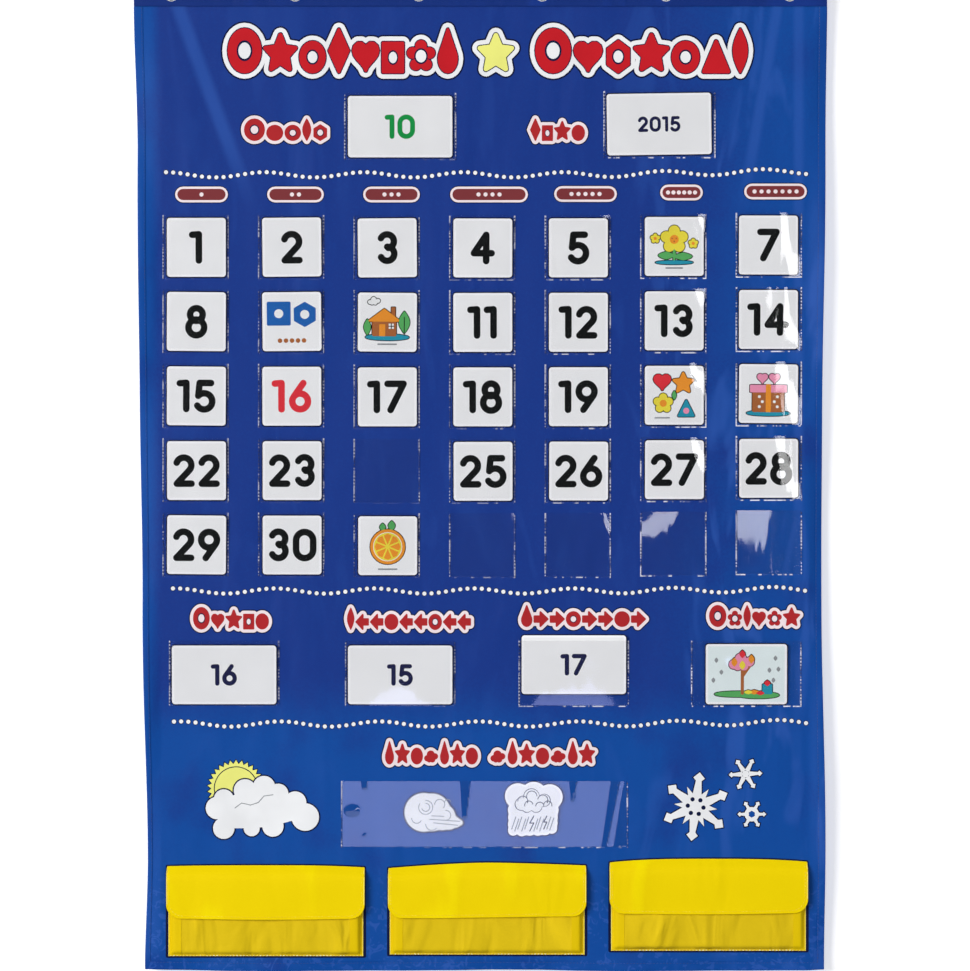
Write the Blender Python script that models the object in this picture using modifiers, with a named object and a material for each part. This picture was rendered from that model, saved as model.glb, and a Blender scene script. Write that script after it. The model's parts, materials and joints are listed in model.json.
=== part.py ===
"""A calendar pocket chart that hangs on a wall: cloth, clear pockets with cards, and three flap pockets.

Metres, +Z up, +X to the right as seen from the front, which faces -Y.
The origin is the middle of the line through the grommets, on the wall behind the chart.
"""

import math

import bmesh
import bpy
from mathutils import Matrix, Vector

# Cards
DAY_CARD_SIDE = 0.0635
WIDE_CARD_WIDTH = 0.1113
MONTH_CARD_HEIGHT = 0.066
SEASON_CARD_WIDTH = 0.087
SEASON_CARD_HEIGHT = 0.065
WIND_CARD_WIDTH = 0.0646
WIND_CARD_HEIGHT = 0.044
RAIN_CARD_SIDE = 0.0614
CARD_THICKNESS = 0.0006
CARD_CORNER_RADIUS = 0.0035
CARD_CORNER_STEPS = 3

# Where a card is not seated on the bottom of its pocket
TOMORROW_CARD_RISE = 0.0107
WIND_CARD_RISE = 0.0137
RAIN_CARD_RISE = 0.0074
YEAR_CARD_TURN = math.radians(0.8)

# Gap between pieces that touch, and how far a pocket leans off the cloth towards its mouth
CLEARANCE = 0.0003
LEAN_ANGLE = math.radians(1.8)

# Points of one mesh that are nearer than this are one point
MERGE_DISTANCE = 0.00003

# Clear pockets
VINYL_THICKNESS = 0.0004
VINYL_FLANGE = 0.0011
VINYL_SLOPE_RUN = 0.0006
DAY_SIDE_ROOM = 0.0013
MONTH_SIDE_ROOM = 0.0015
NAME_SIDE_ROOM = 0.0006
LIP_RISE = 0.0025
WEATHER_POCKET_WIDTH = 0.3013
WEATHER_CARD_ROOM = 0.066

# Grid of day pockets
DAY_ROWS = 5
COLUMN_GAP = 0.0308
ROW_GAP = 0.0101
COLUMN_RISES = (0, 0, -0.0007, -0.0007, -0.0005, 0.001, 0.0024)
DAY_COLUMNS = len(COLUMN_RISES)
EMPTY_PLACES = ((3, 2), (4, 3), (4, 4), (4, 5), (4, 6))

# Centres of the other pockets, as shares of the width of the grid of day pockets
MONTH_CENTRE_SHARE = 0.3717
YEAR_CENTRE_SHARE = 0.7772
NAME_CENTRE_SHARES = (0.0965, 0.3717, 0.6432, 0.9129)
WEATHER_CENTRE_SHARE = 0.5036
WIND_CENTRE_SHARE = 0.4242
RAIN_CENTRE_SHARE = 0.5806

# Heights between the rows of pockets, from the top down
MONTH_LIP_DROP = 0.104
YEAR_POCKET_RISE = 0.002
WEEKDAY_ZONE = 0.0577
NAME_ZONE = 0.0664
WEATHER_ZONE = 0.0777
STORAGE_ZONE = 0.0168
BOTTOM_MARGIN = 0.0152

# Cloth
LEFT_MARGIN = 0.03
RIGHT_MARGIN = 0.0264
CLOTH_THICKNESS = 0.0005
HEM_THICKNESS = 0.0013
HEM_WIDTH = 0.009
HEM_STEP = 0.001
CLOTH_COLUMNS = 3
CLOTH_ROWS = 30
STANDOFF = 0.006
FOLD_DEPTH = 0.004
LEFT_FOLD_LENGTH = 0.42
RIGHT_FOLD_LENGTH = 0.52
RIGHT_FOLD_START = math.radians(57)
FOLD_FADE = 0.15
BOTTOM_FOLD_DEPTH = 0.0025
BOTTOM_FOLD_LENGTH = 0.19
BOTTOM_EDGE_RIPPLE = 0.0008
# How far each side edge hangs in from its top corner, as shares of that side's margin, at shares of the drop
EDGE_DROP_SHARES = (0, 0.17, 0.42, 0.63, 0.88, 1)
LEFT_INSET_SHARES = (0, 0.13, 0.21, 0.31, 0.48, 0.38)
RIGHT_INSET_SHARES = (0, 0.07, 0.2, 0.22, 0.08, 0.12)

# Header band with its grommets
HEADER_HEIGHT = 0.0254
HEADER_LAYER = 0.0006
HEADER_TUCK = 0.006
HEADER_FOLD_STEPS = 4
GROMMET_COUNT = 6
GROMMET_END_INSET = 0.0395
GROMMET_BORE_RADIUS = 0.00475
GROMMET_BARREL_WALL = 0.00045
GROMMET_FLANGE_RADIUS = 0.008
GROMMET_FLANGE_HEIGHT = 0.0009
GROMMET_RIM_ROUND = 0.0004
GROMMET_RIM_SLOPE = 0.0012
GROMMET_STEPS = 16
CUTTER_OVERRUN = 0.005

# Storage pockets with their flaps
STORAGE_GAP = 0.0257
STORAGE_SHIFT = 0.0052
STORAGE_HEIGHT = 0.095
STORAGE_RISES = (-0.0016, 0, 0.004)
STORAGE_DEPTH = 0.0055
STORAGE_CLOTH = 0.0005
STORAGE_FLANGE = 0.003
STORAGE_SLOPE_RUN = 0.0045
MOUTH_DROP = 0.0135
FLAP_LENGTH = 0.0545
FLAP_OVERHANG = 0.0026
FLAP_CLOTH = 0.0008
FLAP_CORNER_RADIUS = 0.014
FLAP_CORNER_STEPS = 4
FLAP_BEND_RUN = 0.004

# Sizes that follow from the ones above
CARD_ROOM = CARD_THICKNESS + 2 * CLEARANCE
BOTTOM_SEAM = VINYL_FLANGE + VINYL_SLOPE_RUN
SIDE_SEAM = VINYL_FLANGE + VINYL_SLOPE_RUN
DAY_POCKET_WIDTH = DAY_CARD_SIDE + 2 * (DAY_SIDE_ROOM + SIDE_SEAM)
MONTH_POCKET_WIDTH = WIDE_CARD_WIDTH + 2 * (MONTH_SIDE_ROOM + SIDE_SEAM)
NAME_POCKET_WIDTH = WIDE_CARD_WIDTH + 2 * (NAME_SIDE_ROOM + SIDE_SEAM)
NAME_CARD_ROOM = max(DAY_CARD_SIDE, SEASON_CARD_HEIGHT)


def pocket_height(card_height):
    return BOTTOM_SEAM + CLEARANCE + card_height + LIP_RISE


COLUMN_PITCH = DAY_POCKET_WIDTH + COLUMN_GAP
ROW_PITCH = pocket_height(DAY_CARD_SIDE) + ROW_GAP
GRID_WIDTH = COLUMN_PITCH * (DAY_COLUMNS - 1) + DAY_POCKET_WIDTH
CHART_WIDTH = GRID_WIDTH + LEFT_MARGIN + RIGHT_MARGIN
GRID_LEFT = LEFT_MARGIN - CHART_WIDTH / 2
FLAT_WIDTH = GRID_WIDTH + STORAGE_SHIFT
RIGHT_FOLD_WIDTH = RIGHT_MARGIN - STORAGE_SHIFT

MONTH_BOTTOM = -MONTH_LIP_DROP - pocket_height(MONTH_CARD_HEIGHT)
FIRST_ROW_BOTTOM = MONTH_BOTTOM - WEEKDAY_ZONE - pocket_height(DAY_CARD_SIDE)
LAST_ROW_BOTTOM = FIRST_ROW_BOTTOM - ROW_PITCH * (DAY_ROWS - 1)
NAME_BOTTOM = LAST_ROW_BOTTOM - NAME_ZONE - pocket_height(NAME_CARD_ROOM)
WEATHER_BOTTOM = NAME_BOTTOM - WEATHER_ZONE - pocket_height(WEATHER_CARD_ROOM)
HINGE_HEIGHT = WEATHER_BOTTOM - STORAGE_ZONE
STORAGE_BOTTOM = HINGE_HEIGHT - STORAGE_HEIGHT + min(STORAGE_RISES)
CHART_BOTTOM = STORAGE_BOTTOM - BOTTOM_MARGIN

CLOTH_MIDDLE = -STANDOFF
CLOTH_FRONT = CLOTH_MIDDLE - CLOTH_THICKNESS / 2
HEADER_SLOT = CLOTH_THICKNESS + 2 * CLEARANCE
HEADER_THICKNESS = HEADER_SLOT + 2 * HEADER_LAYER
HEADER_BOTTOM = -HEADER_HEIGHT / 2
CLOTH_TOP = HEADER_BOTTOM + HEADER_TUCK
GROMMET_PITCH = (CHART_WIDTH - 2 * GROMMET_END_INSET) / (GROMMET_COUNT - 1)
STORAGE_COUNT = len(STORAGE_RISES)
FLAP_WIDTH = (GRID_WIDTH - STORAGE_GAP * (STORAGE_COUNT - 1)) / STORAGE_COUNT
STORAGE_WIDTH = FLAP_WIDTH - 2 * FLAP_OVERHANG
LIP_FRONT = CLEARANCE + STORAGE_DEPTH + STORAGE_CLOTH
HINGE_FRONT = CLEARANCE + FLAP_CLOTH

SLIDE_AXIS = Vector((0, -math.sin(LEAN_ANGLE), math.cos(LEAN_ANGLE)))
FRONT_NORMAL = Vector((0, -math.cos(LEAN_ANGLE), -math.sin(LEAN_ANGLE)))


def material(name, colour, roughness, metallic=0.0, transmission=0.0):
    made = bpy.data.materials.new(name)
    made.use_nodes = True
    shader = made.node_tree.nodes["Principled BSDF"]
    shader.inputs["Base Color"].default_value = (*colour, 1)
    shader.inputs["Roughness"].default_value = roughness
    shader.inputs["Metallic"].default_value = metallic
    shader.inputs["Transmission Weight"].default_value = transmission
    return made


def place(name, mesh, parts, finish, location=(0, 0, 0)):
    made = bpy.data.objects.new(name, mesh)
    made.location = location
    if not mesh.materials:
        mesh.materials.append(finish)
    parts.objects.link(made)
    return made


def give_thickness(made, thickness, offset):
    wall = made.modifiers.new("Wall", "SOLIDIFY")
    wall.thickness = thickness
    wall.offset = offset
    wall.use_even_offset = True
    return wall


def smooth_step(share):
    share = min(max(share, 0), 1)
    return share * share * (3 - 2 * share)


def smooth_between(shares, values, share):
    """The value at a share, eased from each listed share to the next."""
    for low, high, start, end in zip(shares, shares[1:], values, values[1:]):
        if share <= high:
            return start + (end - start) * smooth_step((share - low) / (high - low))
    return values[-1]


def grid_of_lines(bm, columns, rows):
    """A grid in the XZ plane that faces the front, as {(column, row): vertex}."""
    bmesh.ops.create_grid(bm, x_segments=len(columns) - 1, y_segments=len(rows) - 1, size=1)
    ordered = sorted(bm.verts, key=lambda v: (round(v.co.y, 4), round(v.co.x, 4)))
    found = {}
    for index, vertex in enumerate(ordered):
        row, column = divmod(index, len(columns))
        vertex.co = (columns[column], 0, rows[row])
        found[column, row] = vertex
    return found


# Cloth backing


def margin_lines(margin):
    """Distances in from a side edge, at which the cloth has a line of points."""
    hem_end = HEM_WIDTH + HEM_STEP
    return (0, HEM_WIDTH, hem_end, (hem_end + margin) / 2, margin)


def side_fold(x, drop):
    """How far the cloth swings towards the front or the wall in the folds of its margins."""
    left_share = smooth_step((GRID_LEFT - x) / LEFT_MARGIN)
    right_share = smooth_step((x - GRID_LEFT - FLAT_WIDTH) / RIGHT_FOLD_WIDTH)
    left = left_share * math.sin(2 * math.pi * drop / LEFT_FOLD_LENGTH)
    right = right_share * math.sin(2 * math.pi * drop / RIGHT_FOLD_LENGTH + RIGHT_FOLD_START)
    return FOLD_DEPTH * (left + right) * smooth_step(drop / FOLD_FADE)


def bottom_fold(x, z):
    share = smooth_step((STORAGE_BOTTOM - z) / BOTTOM_MARGIN)
    return BOTTOM_FOLD_DEPTH * share * math.sin(2 * math.pi * x / BOTTOM_FOLD_LENGTH)


def backing_sheet(parts, finish):
    left = [-CHART_WIDTH / 2 + line for line in margin_lines(LEFT_MARGIN)]
    right = [CHART_WIDTH / 2 - line for line in reversed(margin_lines(RIGHT_FOLD_WIDTH))]
    inner_lines = range(1, CLOTH_COLUMNS)
    columns = left + [GRID_LEFT + FLAT_WIDTH * line / CLOTH_COLUMNS for line in inner_lines] + right
    hem_top = CHART_BOTTOM + HEM_WIDTH
    rows = [CHART_BOTTOM, hem_top, hem_top + HEM_STEP, STORAGE_BOTTOM]
    step = (HEADER_BOTTOM - rows[-1]) / CLOTH_ROWS
    rows += [rows[-1] + step * count for count in range(1, CLOTH_ROWS + 1)] + [CLOTH_TOP]
    bm = bmesh.new()
    found = grid_of_lines(bm, columns, rows)
    in_hem = []
    for (column, row), vertex in found.items():
        x, z = vertex.co.x, vertex.co.z
        share = z / CHART_BOTTOM if z < 0 else 0
        left_inset = LEFT_MARGIN * smooth_between(EDGE_DROP_SHARES, LEFT_INSET_SHARES, share)
        right_inset = RIGHT_MARGIN * smooth_between(EDGE_DROP_SHARES, RIGHT_INSET_SHARES, share)
        left_part = max(0, (GRID_LEFT - x) / LEFT_MARGIN)
        right_part = max(0, (x - GRID_LEFT - FLAT_WIDTH) / RIGHT_FOLD_WIDTH)
        vertex.co.y = CLOTH_MIDDLE + side_fold(x, -z) + bottom_fold(x, z)
        vertex.co.x = x + left_inset * left_part - right_inset * right_part
        if row == 0:
            vertex.co.z += BOTTOM_EDGE_RIPPLE * math.cos(math.pi * x / BOTTOM_FOLD_LENGTH)
        at_side = column < 2 or column > len(columns) - 3
        in_hem.append((vertex, row < 2 or (at_side and row < len(rows) - 3)))
    bm.verts.index_update()
    hem_points = [vertex.index for vertex, hemmed in in_hem if hemmed]
    mesh = bpy.data.meshes.new("backing_sheet")
    bm.to_mesh(mesh)
    bm.free()
    made = place("backing_sheet", mesh, parts, finish)
    hem = made.vertex_groups.new(name="Hem")
    hem.add(hem_points, 1, "REPLACE")
    wall = give_thickness(made, HEM_THICKNESS, 0)
    wall.vertex_group = hem.name
    wall.thickness_vertex_group = CLOTH_THICKNESS / HEM_THICKNESS


# Header band and grommets


def header_outline():
    """Points of the band's end, as (towards the front, up), with its fold at the top and its slot below."""
    half = HEADER_THICKNESS / 2
    slot = HEADER_SLOT / 2
    top = HEADER_HEIGHT / 2
    slot_top = CLOTH_TOP + CLEARANCE
    points = [(-half, HEADER_BOTTOM), (-slot, HEADER_BOTTOM), (-slot, slot_top)]
    points += [(slot, slot_top), (slot, HEADER_BOTTOM), (half, HEADER_BOTTOM)]
    for count in range(HEADER_FOLD_STEPS + 1):
        turn = math.pi * count / HEADER_FOLD_STEPS
        points.append((half * math.cos(turn), top - half + half * math.sin(turn)))
    return points


def mesh_from_outline(name, points, length):
    """A closed mesh: an outline in the local XY plane, drawn out to a length along Z."""
    curve = bpy.data.curves.new(name, "CURVE")
    curve.dimensions = "2D"
    curve.fill_mode = "BOTH"
    curve.extrude = length / 2
    line = curve.splines.new("POLY")
    line.points.add(len(points) - 1)
    for point, (x, y) in zip(line.points, points):
        point.co = (x, y, 0, 1)
    line.use_cyclic_u = True
    guide = bpy.data.objects.new(name, curve)
    bpy.context.scene.collection.objects.link(guide)
    bpy.context.view_layer.update()
    graph = bpy.context.evaluated_depsgraph_get()
    mesh = bpy.data.meshes.new_from_object(guide.evaluated_get(graph))
    bpy.data.objects.remove(guide)
    bm = bmesh.new()
    bm.from_mesh(mesh)
    bmesh.ops.remove_doubles(bm, verts=bm.verts, dist=MERGE_DISTANCE)
    bmesh.ops.recalc_face_normals(bm, faces=bm.faces)
    bm.to_mesh(mesh)
    bm.free()
    return mesh


def grommet_places():
    first = -GROMMET_PITCH * (GROMMET_COUNT - 1) / 2
    return [first + GROMMET_PITCH * count for count in range(GROMMET_COUNT)]


def header_band(parts, cutters, finish):
    mesh = mesh_from_outline("header_band", header_outline(), CHART_WIDTH)
    turn = Matrix(((0, 0, 1), (-1, 0, 0), (0, 1, 0))).to_4x4()
    mesh.transform(Matrix.Translation((0, CLOTH_MIDDLE, 0)) @ turn)
    band = place("header_band", mesh, parts, finish)
    hole_radius = GROMMET_BORE_RADIUS + GROMMET_BARREL_WALL + CLEARANCE
    for x in grommet_places():
        bpy.ops.mesh.primitive_cylinder_add(
            vertices=GROMMET_STEPS,
            radius=hole_radius,
            depth=HEADER_THICKNESS + 2 * CUTTER_OVERRUN,
            location=(x, CLOTH_MIDDLE, 0),
            rotation=(math.pi / 2, 0, 0),
        )
        cutter = bpy.context.object
        cutter.name = "grommet_hole"
        cutter.hide_render = True
        cutter.display_type = "WIRE"
        for holder in list(cutter.users_collection):
            holder.objects.unlink(cutter)
        cutters.objects.link(cutter)
        hole = band.modifiers.new("Grommet hole", "BOOLEAN")
        hole.operation = "DIFFERENCE"
        hole.object = cutter


def grommet_profile():
    """(radius, height) of the eyelet's section, down its outer side and up its bore."""
    seat = HEADER_THICKNESS / 2 + CLEARANCE
    face = seat + GROMMET_FLANGE_HEIGHT
    barrel = GROMMET_BORE_RADIUS + GROMMET_BARREL_WALL
    rim = GROMMET_FLANGE_RADIUS
    half = [
        (GROMMET_BORE_RADIUS + GROMMET_RIM_ROUND, face),
        (rim - GROMMET_RIM_SLOPE, face),
        (rim, seat + GROMMET_RIM_ROUND),
        (rim - GROMMET_RIM_ROUND, seat),
        (barrel, seat),
    ]
    bore = [(GROMMET_BORE_RADIUS, GROMMET_RIM_ROUND - face), (GROMMET_BORE_RADIUS, face - GROMMET_RIM_ROUND)]
    return half + [(radius, -height) for radius, height in reversed(half)] + bore


def grommets(parts, finish):
    points = grommet_profile()
    mesh = bpy.data.meshes.new("grommet")
    edges = [(index, (index + 1) % len(points)) for index in range(len(points))]
    mesh.from_pydata([(radius, 0, height) for radius, height in points], edges, [])
    for count, x in enumerate(grommet_places(), 1):
        made = place(f"grommet_{count}", mesh, parts, finish, (x, CLOTH_MIDDLE, 0))
        made.rotation_euler = (math.pi / 2, 0, 0)
        turned = made.modifiers.new("Turned", "SCREW")
        turned.steps = GROMMET_STEPS
        turned.render_steps = GROMMET_STEPS
        turned.use_merge_vertices = True
        turned.merge_threshold = MERGE_DISTANCE
        turned.use_normal_calculate = True


# Pockets


class Pocket:
    """One open pocket on the cloth, flat at its sides and bottom, with a front that stands off the cloth."""

    def __init__(self, centre, bottom, width, height, depth, flange, slope_run, lean):
        self.centre = centre
        self.bottom = bottom
        self.height = height
        self.depth = depth
        self.lean = lean
        half = width / 2
        inner = half - flange - slope_run
        self.lines = (-half, flange - half, -inner, inner, half - flange, half)
        self.levels = (0, flange, flange + slope_run, height)

    def point(self, column, row):
        """A point of the pocket's inner surface."""
        x = self.centre + self.lines[column]
        level = self.levels[row]
        if column in (2, 3) and row > 1:
            forward = self.depth * math.cos(self.lean) + level * math.sin(self.lean)
            return (x, CLOTH_FRONT - forward, self.bottom + level)
        return (x, CLOTH_FRONT - CLEARANCE, self.bottom + level)


def clear_pocket(centre, bottom, width, height):
    return Pocket(centre, bottom, width, height, CARD_ROOM, VINYL_FLANGE, VINYL_SLOPE_RUN, LEAN_ANGLE)


def pocket_sheet(name, pockets, thickness, parts, finish):
    """Pockets side by side in one sheet, joined along the seam at their bottoms."""
    lines = len(pockets[0].lines)
    levels = len(pockets[0].levels)
    bm = bmesh.new()
    found = grid_of_lines(bm, range(lines * len(pockets)), range(levels))
    between = []
    for (column, row), vertex in found.items():
        number, line = divmod(column, lines)
        vertex.co = pockets[number].point(line, row)
    for face in bm.faces:
        corners = [corner for corner, vertex in found.items() if vertex in face.verts]
        first = min(column for column, row in corners)
        if first % lines == lines - 1 and min(row for column, row in corners) > 0:
            between.append(face)
    bmesh.ops.delete(bm, geom=between, context="FACES")
    mesh = bpy.data.meshes.new(name)
    bm.to_mesh(mesh)
    bm.free()
    made = place(name, mesh, parts, finish)
    give_thickness(made, thickness, 1)


def day_pocket(row, column):
    centre = GRID_LEFT + DAY_POCKET_WIDTH / 2 + COLUMN_PITCH * column
    bottom = FIRST_ROW_BOTTOM - ROW_PITCH * row + COLUMN_RISES[column]
    return clear_pocket(centre, bottom, DAY_POCKET_WIDTH, pocket_height(DAY_CARD_SIDE))


def month_pocket():
    centre = GRID_LEFT + GRID_WIDTH * MONTH_CENTRE_SHARE
    return clear_pocket(centre, MONTH_BOTTOM, MONTH_POCKET_WIDTH, pocket_height(MONTH_CARD_HEIGHT))


def year_pocket():
    centre = GRID_LEFT + GRID_WIDTH * YEAR_CENTRE_SHARE
    bottom = MONTH_BOTTOM + YEAR_POCKET_RISE
    return clear_pocket(centre, bottom, MONTH_POCKET_WIDTH, pocket_height(MONTH_CARD_HEIGHT))


def name_pocket(number):
    centre = GRID_LEFT + GRID_WIDTH * NAME_CENTRE_SHARES[number]
    return clear_pocket(centre, NAME_BOTTOM, NAME_POCKET_WIDTH, pocket_height(NAME_CARD_ROOM))


def weather_pocket():
    centre = GRID_LEFT + GRID_WIDTH * WEATHER_CENTRE_SHARE
    return clear_pocket(centre, WEATHER_BOTTOM, WEATHER_POCKET_WIDTH, pocket_height(WEATHER_CARD_ROOM))


def storage_centre(number):
    return GRID_LEFT + STORAGE_SHIFT + FLAP_WIDTH / 2 + (FLAP_WIDTH + STORAGE_GAP) * number


def storage_pocket(number):
    bottom = HINGE_HEIGHT - STORAGE_HEIGHT + STORAGE_RISES[number]
    return Pocket(
        storage_centre(number),
        bottom,
        STORAGE_WIDTH,
        STORAGE_HEIGHT - MOUTH_DROP,
        STORAGE_DEPTH + CLEARANCE,
        STORAGE_FLANGE,
        STORAGE_SLOPE_RUN,
        0,
    )


# Cards


def card_mesh(name, width, height):
    """A card with rounded corners, standing on the origin with its back on the XZ plane."""
    bm = bmesh.new()
    bmesh.ops.create_cube(bm, size=1)
    bmesh.ops.translate(bm, verts=bm.verts, vec=(0, -1 / 2, 1 / 2))
    bmesh.ops.scale(bm, verts=bm.verts, vec=(width, CARD_THICKNESS, height))
    corners = [edge for edge in bm.edges if edge.verts[0].co.y != edge.verts[1].co.y]
    bmesh.ops.bevel(
        bm,
        geom=corners,
        offset=CARD_CORNER_RADIUS,
        affect="EDGES",
        segments=CARD_CORNER_STEPS,
        profile=0.5,
        material=-1,
    )
    mesh = bpy.data.meshes.new(name)
    bm.to_mesh(mesh)
    bm.free()
    return mesh


def seat_card(name, mesh, pocket, parts, finish, rise=0, centre=None, turn=0, drop=0):
    """A card in its pocket, leaning with the pocket's front. Its origin is on its slide's axis."""
    base = Vector((pocket.centre if centre is None else centre, CLOTH_FRONT, pocket.bottom))
    height = BOTTOM_SEAM + CLEARANCE + rise + drop
    made = place(name, mesh, parts, finish)
    made.location = base + SLIDE_AXIS * height + FRONT_NORMAL * CLEARANCE
    made.rotation_euler = (LEAN_ANGLE, turn, 0)
    return made


def day_cards(parts, finish):
    mesh = card_mesh("day_card", DAY_CARD_SIDE, DAY_CARD_SIDE)
    for row in range(DAY_ROWS):
        for column in range(DAY_COLUMNS):
            if (row, column) in EMPTY_PLACES:
                continue
            name = f"day_card_row{row + 1}_column{column + 1}"
            seat_card(name, mesh, day_pocket(row, column), parts, finish)


def month_and_year_cards(parts, finish):
    mesh = card_mesh("month_card", WIDE_CARD_WIDTH, MONTH_CARD_HEIGHT)
    seat_card("month_card", mesh, month_pocket(), parts, finish)
    # A turned card stands on one lower corner
    corner_drop = WIDE_CARD_WIDTH / 2 * math.sin(YEAR_CARD_TURN)
    seat_card("year_card", mesh, year_pocket(), parts, finish, turn=-YEAR_CARD_TURN, drop=corner_drop)


def name_cards(parts, finish):
    mesh = card_mesh("name_card", WIDE_CARD_WIDTH, DAY_CARD_SIDE)
    seat_card("today_card", mesh, name_pocket(0), parts, finish)
    seat_card("yesterday_card", mesh, name_pocket(1), parts, finish)
    seat_card("tomorrow_card", mesh, name_pocket(2), parts, finish, rise=TOMORROW_CARD_RISE)
    season = card_mesh("season_card", SEASON_CARD_WIDTH, SEASON_CARD_HEIGHT)
    seat_card("season_card", season, name_pocket(3), parts, finish)


def weather_cards(parts, finish):
    wind = card_mesh("wind_cloud_card", WIND_CARD_WIDTH, WIND_CARD_HEIGHT)
    rain = card_mesh("rain_cloud_card", RAIN_CARD_SIDE, RAIN_CARD_SIDE)
    pocket = weather_pocket()
    wind_x = GRID_LEFT + GRID_WIDTH * WIND_CENTRE_SHARE
    rain_x = GRID_LEFT + GRID_WIDTH * RAIN_CENTRE_SHARE
    seat_card("wind_cloud_card", wind, pocket, parts, finish, rise=WIND_CARD_RISE, centre=wind_x)
    seat_card("rain_cloud_card", rain, pocket, parts, finish, rise=RAIN_CARD_RISE, centre=rain_x)


# Flaps


def flap_profile():
    """(drop below the hinge, distance off the cloth) of the flap's inner face."""
    lip = LIP_FRONT + CLEARANCE
    return (
        (0, CLEARANCE),
        (MOUTH_DROP - FLAP_BEND_RUN, LIP_FRONT - CLEARANCE),
        (MOUTH_DROP, lip + CLEARANCE),
        (MOUTH_DROP + FLAP_BEND_RUN, lip + CLEARANCE),
        (FLAP_LENGTH, lip),
    )


def distance_at(drop):
    profile = flap_profile()
    for (low, start), (high, end) in zip(profile, profile[1:]):
        if drop <= high:
            return start + (end - start) * (drop - low) / (high - low)
    return profile[-1][1]


def flap_mesh():
    """A flap with round lower corners. The origin is on the hinge, at the top of the flap's outer face."""
    bm = bmesh.new()
    grid_of_lines(bm, (-FLAP_WIDTH / 2, FLAP_WIDTH / 2), (-FLAP_LENGTH, 0))
    corners = [vertex for vertex in bm.verts if vertex.co.z < 0]
    bmesh.ops.bevel(
        bm,
        geom=corners,
        offset=FLAP_CORNER_RADIUS,
        affect="VERTICES",
        segments=FLAP_CORNER_STEPS,
        profile=0.5,
        material=-1,
    )
    for drop, _ in flap_profile()[1:-1]:
        geometry = bm.verts[:] + bm.edges[:] + bm.faces[:]
        bmesh.ops.bisect_plane(bm, geom=geometry, plane_co=(0, 0, -drop), plane_no=(0, 0, 1))
    for vertex in bm.verts:
        vertex.co.y = HINGE_FRONT - distance_at(-vertex.co.z)
    mesh = bpy.data.meshes.new("storage_flap")
    bm.to_mesh(mesh)
    bm.free()
    return mesh


def storage(parts, pocket_finish, flap_finish):
    mesh = flap_mesh()
    for number, side in enumerate(("left", "middle", "right")):
        pocket_sheet(
            f"storage_pocket_{side}", [storage_pocket(number)], STORAGE_CLOTH, parts, pocket_finish
        )
        hinge = (storage_centre(number), CLOTH_FRONT - HINGE_FRONT, HINGE_HEIGHT + STORAGE_RISES[number])
        flap = place(f"storage_flap_{side}", mesh, parts, flap_finish, hinge)
        give_thickness(flap, FLAP_CLOTH, 1)


def main():
    for old in list(bpy.data.objects):
        bpy.data.objects.remove(old)
    parts = bpy.data.collections.new("Calendar pocket chart")
    cutters = bpy.data.collections.new("Cutters")
    cutters.hide_render = True
    for collection in (parts, cutters):
        bpy.context.scene.collection.children.link(collection)

    blue_cloth = material("Blue nylon cloth", (0.012, 0.05, 0.3), 0.6)
    plated_metal = material("Plated grommet", (0.75, 0.75, 0.72), 0.3, metallic=1.0)
    vinyl = material("Clear vinyl", (0.9, 0.93, 1), 0.1, transmission=1.0)
    yellow_cloth = material("Yellow nylon cloth", (0.85, 0.6, 0.02), 0.6)
    flap_cloth = material("Yellow flap cloth", (0.95, 0.75, 0.01), 0.55)
    card = material("Laminated card", (0.84, 0.84, 0.86), 0.35)

    backing_sheet(parts, blue_cloth)
    header_band(parts, cutters, blue_cloth)
    grommets(parts, plated_metal)
    for row in range(DAY_ROWS):
        pockets = [day_pocket(row, column) for column in range(DAY_COLUMNS)]
        pocket_sheet(f"day_pocket_row_{row + 1}", pockets, VINYL_THICKNESS, parts, vinyl)
    pocket_sheet("month_year_pockets", [month_pocket(), year_pocket()], VINYL_THICKNESS, parts, vinyl)
    names = [name_pocket(number) for number in range(len(NAME_CENTRE_SHARES))]
    pocket_sheet("day_name_pockets", names, VINYL_THICKNESS, parts, vinyl)
    pocket_sheet("weather_pocket", [weather_pocket()], VINYL_THICKNESS, parts, vinyl)
    storage(parts, yellow_cloth, flap_cloth)
    day_cards(parts, card)
    month_and_year_cards(parts, card)
    name_cards(parts, card)
    weather_cards(parts, card)


main()
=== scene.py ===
"""Looks of a calendar pocket chart: cloth, clear pockets, cards, prints, flap pockets and metal eyelets."""

import json
import math

import bmesh
import bpy
from bpy.props import FloatProperty, FloatVectorProperty, IntProperty, PointerProperty
from mathutils import Matrix, Vector, noise

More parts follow.
